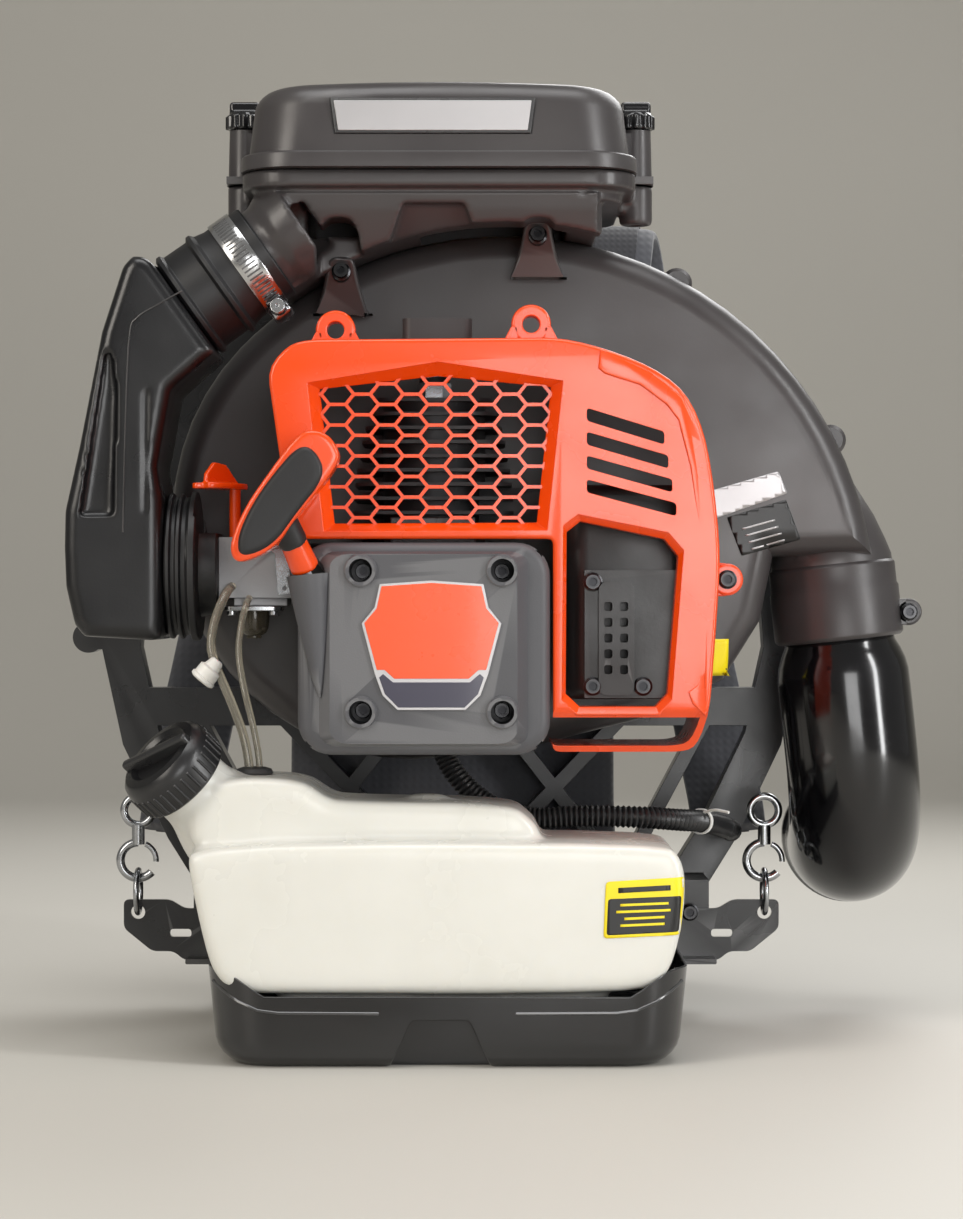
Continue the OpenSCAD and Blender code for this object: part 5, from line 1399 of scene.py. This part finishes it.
        middle = bmesh.new()
        raise_outline(middle, [Vector((-24, -80, 441)), Vector((8, -80, 441)), Vector((26, -80, 394)),
                               Vector((-42, -80, 394))], Vector((0, 40, 0)))
        for v in middle.verts:
            if v.co.y > -60:
                v.co.y = -50 if v.co.z > 430 else -16
        tools.append(middle)
        well = bmesh.new()
        hole = block(well, (self.mid_x - 97, self.mid_y - 68, 452), (self.mid_x + 97, self.mid_y + 68, 470))
        round_edges(well, edges_of(hole, upright), 22, 6)
        tools.append(well)
        throat = bmesh.new()
        block(throat, (-76, -24, 427), (62, 56, 458))
        tools.append(throat)
        bore = bmesh.new()
        lathe(bore, [(0, 10), (21, 10), (21, 70), (0, 70)], start[0], start[1], 32)
        tools.append(bore)
        for s in (-1, 1):
            shank = bmesh.new()
            lathe(shank, [(0, 0), (2.7, 0), (2.7, 30), (0, 30)], (self.mid_x + s * self.lug_x, self.mid_y, 436),
                  (0, 0, 1), 16)
            tools.append(shank)
        bm = cut(bm, tools)
        finish_piece("air_base_moulding", bm, HOUSING, replaces=["air_base"], voxel=1.3, smooth=4)
        for i, x in enumerate((-58, 47)):
            bm = bmesh.new()
            foot_z = 230 + math.sqrt(max(0, 201.5 ** 2 - (x - 30) ** 2))
            outline = rounded([(x - 14, foot_z - 24), (x - 8.5, foot_z - 6), (x - 7, foot_z + 5), (x + 7, foot_z + 5),
                               (x + 8.5, foot_z - 6), (x + 14, foot_z - 24)], [0, 8, 6, 6, 8, 0])
            prism(bm, outline, -24, 16)
            for v in bm.verts:
                v.co.y += 14 * max(0.0, (foot_z + 4 - v.co.z) / 28) * (v.co.y < 0)
            finish_piece(f"scroll_tab_{i + 1}", bm, HOUSING, bevel=2.2, segments=4)
            screw = bmesh.new()
            lathe(screw, [(0, -4), (5, -4), (5, 0.6), (4, 1.2), (3.8, 4), (2.1, 4), (2.1, 2), (0, 2)],
                  (x, -22, foot_z - 3),
                  (0, -1, 0.15), 24)
            finish_piece(f"scroll_tab_screw_{i + 1}", screw, BLACKENED)

    def mouth(self) -> tuple[Vector, Vector]:
        """Gives the point where the spigot meets the collar, and its direction."""
        return CRANK + Vector((-121, -35, 183)), Vector((0.815, 0, 0.579)).normalized()

    def build(self) -> None:
        """Builds the air cleaner."""
        self.lid()
        for side in (-1, 1):
            self.knob(side)
        self.base()
        dress("air_filter", FELT, 3.0)


@dataclass
class FuelSystem:
    """The tank with its cap, grommet, hoses and the wiring loom."""

    front: float = -139.0
    back: float = -31.0
    neck_at: Vector = field(default_factory=lambda: Vector((-122, -92, 128)))
    neck: Vector = field(default_factory=lambda: Vector((-0.62, -0.42, 0.66)).normalized())

    def tank(self) -> None:
        """Builds the blow-moulded tank as one melted skin over its two levels, foot, hump and neck."""
        low = [(-84, 36), (95, 36), (110, 44), (117, 68), (119, 91), (117, 104), (108, 112), (-130, 112), (-129, 96),
               (-121, 59), (-116, 45), (-106, 37)]
        high = [(-130, 100), (47, 100), (47, 117), (41, 123), (32, 130), (-56, 131), (-63, 134), (-75, 143),
                (-118, 143),
                (-131, 128)]
        bm = bmesh.new()
        body = prism(bm, soften(low, 2), self.front, self.back)
        round_edges(bm, edges_of(body, at_y(self.front)) + edges_of(body, at_y(self.back)), 9, 5)
        upper = prism(bm, soften(high, 2), self.front + 22, self.back - 6)
        round_edges(bm, edges_of(upper, at_y(self.front + 22)) + edges_of(upper, at_y(self.back - 6)), 7, 4)
        foot = block(bm, (-86, self.front + 13, 31), (81, self.back - 14, 40))
        round_edges(bm, edges_of(foot, upright), 8, 4)
        lathe(bm, [(0, 0), (11, 0), (9.5, 3.2), (0, 3.4)], (-11, -78, 129.6), (0, 0, 1), 32)
        lathe(bm, [(0, -26), (30, -26), (26, -8), (22.5, 2), (20.6, 8), (20.6, 30), (0, 30)], self.neck_at, self.neck,
              40)
        finish_piece("fuel_tank_moulding", bm, TANK, replaces=["fuel_tank"], voxel=2.0, smooth=14)
        bm = bmesh.new()
        lathe(bm, [(4.9, -1), (7, -1), (7, 0.2), (9.4, 0.2), (9.8, 1), (8.8, 3), (5.6, 4), (4.9, 4)], (-100, -81, 143),
              (0, 0, 1), 36, closed=True)
        finish_piece("tank_grommet_ring", bm, RUBBER, replaces=["tank_grommet"])

    def label(self) -> None:
        """Builds the blank mixture label: a yellow field with a black panel and blank bars."""
        tank = bpy.data.objects["fuel_tank_moulding"]
        film("mixture_label", rounded([(77.6, 64.4), (116.2, 66.2), (118.4, 95), (78.8, 92.6)], 2.2), tank, 0.25,
             LABEL_YELLOW, 24)
        film("mixture_label_panel", rounded([(79.2, 66.0), (115.2, 67.8), (116.6, 85.6), (80.0, 84.0)], 1.6), tank,
             0.45,
             LABEL_BLACK, 24)
        for i, (x, w) in enumerate(((86, 24), (84, 27), (88, 20), (86, 22))):
            z = 80.4 - 3.4 * i
            film(f"mixture_label_bar_{i + 1}", [(x, z), (x + w, z + 1), (x + w, z + 2.2), (x, z + 1.2)], tank, 0.65,
                 LABEL_YELLOW, 9)
        film("mixture_label_heading", [(85, 87.0), (111, 88.4), (111, 91.0), (85, 89.6)], tank, 0.45, LABEL_BLACK,
             9)

    def cap(self) -> None:
        """Builds the cap: a ribbed skirt, a dished top and a thumb rib across it."""
        at = self.neck_at + self.neck * 20
        bm = bmesh.new()
        lathe(bm, [(0, 14), (21.5, 14), (21.5, 0), (25, 0), (25.8, 1), (25.8, 14), (24.6, 17.5), (22, 20), (17.5, 20.6),
                   (15, 18.4), (0, 17.6)], at, self.neck, 72)
        u = self.neck.cross(Vector((0, 0, 1))).normalized()
        w = self.neck.cross(u).normalized()
        for k in range(36):
            a = math.tau * k / 36
            place = at + (u * math.cos(a) + w * math.sin(a)) * 25.7
            lathe(bm, [(0, 1.5), (0.9, 1.5), (0.9, 12.5), (0, 13.5)], place, self.neck, 8)
        turn = Matrix((u, w, self.neck)).transposed()
        way = (u * math.cos(0.5) + w * math.sin(0.5)).normalized()
        turn = Matrix((way, self.neck.cross(way), self.neck)).transposed()
        bar = bmesh.ops.create_cube(bm, size=1.0, matrix=Matrix.LocRotScale(at + self.neck * 20.2, turn,
                                                                            Vector((45, 5.2, 9))))["verts"]
        round_edges(bm, {e for v in bar for e in v.link_edges}, 2.0, 4)
        finish_piece("fuel_cap_moulding", bm, BLACK_SATIN, "cap", ["fuel_cap"], bevel=0.4)
        dress("cap_gasket", RUBBER)

    def hose(self, name: str, points: Sequence[Sequence[float]], radius: float, finish: Finish,
             replaces: Sequence[str], radius_at: Optional[Callable[[int], float]] = None,
             steps: int = 6) -> None:
        route = curve_through(points, steps)
        bm = bmesh.new()
        tube(bm, route, radius_at or radius, 14)
        made = finish_piece(name, bm, finish, replaces=replaces, angle=60)

    def lines(self) -> None:
        """Builds the feed and return hoses, the check valve and the corrugated loom."""
        feed = [(-102.2, -82, 120), (-102.2, -82, 136), (-103, -82, 150), (-106, -81, 164), (-112, -79, 180),
                (-119, -76, 196), (-123, -72, 208), (-122, -68, 220), (-119, -64, 230), (-116, -58, 237),
                (-114, -50.1, 240)]
        back = [(-97.5, -79.5, 124), (-97.5, -79.5, 138), (-98, -79, 152), (-101, -78, 168), (-105, -76, 184),
                (-108, -72, 198), (-109, -68, 208), (-108, -64, 220), (-106, -59, 230), (-105, -50.1, 234)]
        self.hose("fuel_feed_hose", feed, 2.4, VINYL, ["fuel_lines"])
        self.hose("fuel_return_hose", back, 1.8, VINYL, ())
        bm = bmesh.new()
        way = Vector((math.sin(math.radians(40)), 0, math.cos(math.radians(40))))
        lathe(bm, [(0, 0), (5.4, 0), (6.8, 0.8), (7, 2.5), (6.2, 3), (6.2, 8), (4.6, 9), (3.6, 13), (2.6, 14), (0, 14)],
              (-128, -77, 191), way, 32)
        finish_piece("check_valve_moulding", bm, WHITE, replaces=["check_valve"])
        loom = [(-6, -2, 169), (-5, -4, 158), (0, -8, 144), (12, -12, 130), (28, -14, 120), (46, -14, 116),
                (66, -13, 117),
                (86, -12, 117), (106, -8, 116), (124, 4, 114), (138, 22, 112), (150, 46, 108), (157, 72, 104),
                (159, 94, 102), (159, 116.9, 102)]
        self.hose("wiring_loom_conduit", loom, 6.0, BLACK_SATIN, ["loom"],
                  lambda i: 6.1 if i % 2 else 5.0, 14)
        bm = bmesh.new()
        lathe(bm, [(6.3, -1.2), (7.1, -1.2), (7.1, 1.2), (6.3, 1.2)], (137, 20.7, 112.1), (0.5, 0.86, -0.08), 28,
              closed=True)
        tube(bm, curve_through([(138, 17, 117), (144, 10, 119), (151, 4, 118)], 5), 0.8, 8)
        finish_piece("loom_tie", bm, WHITE)

    def build(self) -> None:
        """Builds the fuel system and the loom."""
        self.lines()
        self.tank()
        self.label()
        self.cap()


@dataclass
class Studio:
    """The floor, lights and camera."""

    eye: Sequence[float] = (0.017, -1.730, 0.228)
    lens: float = 94.5

    def floor(self) -> None:
        """Builds a pale floor that sweeps up into a backdrop."""
        bm = bmesh.new()
        line = [Vector((0, -6000, 0)), Vector((0, 2100, 0))]
        line += [Vector((0, 2100 + 900 * math.sin(a), 900 - 900 * math.cos(a))) for a in
                 [math.pi / 2 * k / 12 for k in range(1, 13)]]
        line.append(Vector((0, 3000, 4200)))
        verts = [bm.verts.new(p - Vector((6500, 0, 0))) for p in line]
        edges = [bm.edges.new(p) for p in zip(verts, verts[1:])]
        moved = bmesh.ops.extrude_edge_only(bm, edges=edges)["geom"]
        bmesh.ops.translate(bm, vec=(13000, 0, 0), verts=[v for v in moved if isinstance(v, bmesh.types.BMVert)])
        made = object_from(bm, "studio_floor")
        for face in made.data.polygons:
            face.use_smooth = True
        paper = bpy.data.materials.new("backdrop_paper")
        paper.use_nodes = True
        tree = paper.node_tree
        where = add(tree, "ShaderNodeTexCoord").outputs["Object"]
        cloud = add(tree, "ShaderNodeTexNoise", {"Vector": where, "Scale": 0.8}).outputs["Fac"]
        tone = add(tree, "ShaderNodeMix", {0: cloud, 6: hex_colour("#cdcac3"), 7: hex_colour("#c5c2ba")},
                   data_type="RGBA")
        shader = tree.nodes["Principled BSDF"]
        tree.links.new(tone.outputs[2], shader.inputs["Base Color"])
        shader.inputs["Roughness"].default_value = 0.55
        made.data.materials.append(paper)

    def light(self, name: str, at: Sequence[float], size: Pair, power: float, colour: str = "#ffffff") -> None:
        """Adds one soft box that looks at the middle of the machine."""
        data = bpy.data.lights.new(name, "AREA")
        data.shape, data.size, data.size_y, data.energy = "RECTANGLE", size[0], size[1], power
        data.color = hex_colour(colour)[:3]
        lamp = bpy.data.objects.new(name, data)
        lamp.location = at
        lamp.visible_camera = False
        lamp.rotation_euler = (Vector((0, 0, 0.25)) - Vector(at)).to_track_quat("-Z", "Y").to_euler()
        bpy.context.scene.collection.objects.link(lamp)

    def build(self) -> None:
        """Sets the camera, the floor and the lights."""
        data = bpy.data.cameras.new("camera")
        data.lens, data.sensor_width = self.lens, 36
        camera = bpy.data.objects.new("camera", data)
        camera.location = self.eye
        camera.rotation_euler = (math.pi / 2, 0, 0)
        bpy.context.scene.collection.objects.link(camera)
        bpy.context.scene.camera = camera
        self.floor()
        self.light("key_left", (-1.4, -1.5, 1.1), (0.7, 1.3), 20, "#fff8ee")
        self.light("strip_right", (1.5, -1.0, 0.7), (0.22, 1.5), 20)
        self.light("top", (0.1, -0.5, 1.9), (1.4, 0.8), 16)
        self.light("front_fill", (0.5, -2.6, 0.35), (1.0, 1.0), 19)
        self.light("back_rim", (0.6, 1.2, 1.3), (1.2, 0.8), 14)
        world = bpy.data.worlds.new("studio")
        world.use_nodes = True
        world.node_tree.nodes["Background"].inputs[0].default_value = hex_colour("#e9e7e2")
        world.node_tree.nodes["Background"].inputs[1].default_value = 0.3
        bpy.context.scene.world = world
        bpy.context.scene.view_settings.view_transform = "Standard"


def main() -> None:
    """Builds the studio and every sub-assembly."""
    logging.basicConfig(level=logging.INFO, format="%(name)s: %(message)s")
    for part in (Studio(), FuelSystem(), Starter(), BaseTray(), BackFrame(), Blower(), Engine(), EngineCover(),
                 Intake(), AirCleaner()):
        part.build()
        LOG.info("%s done", type(part).__name__)


if __name__ == "__main__":
    main()
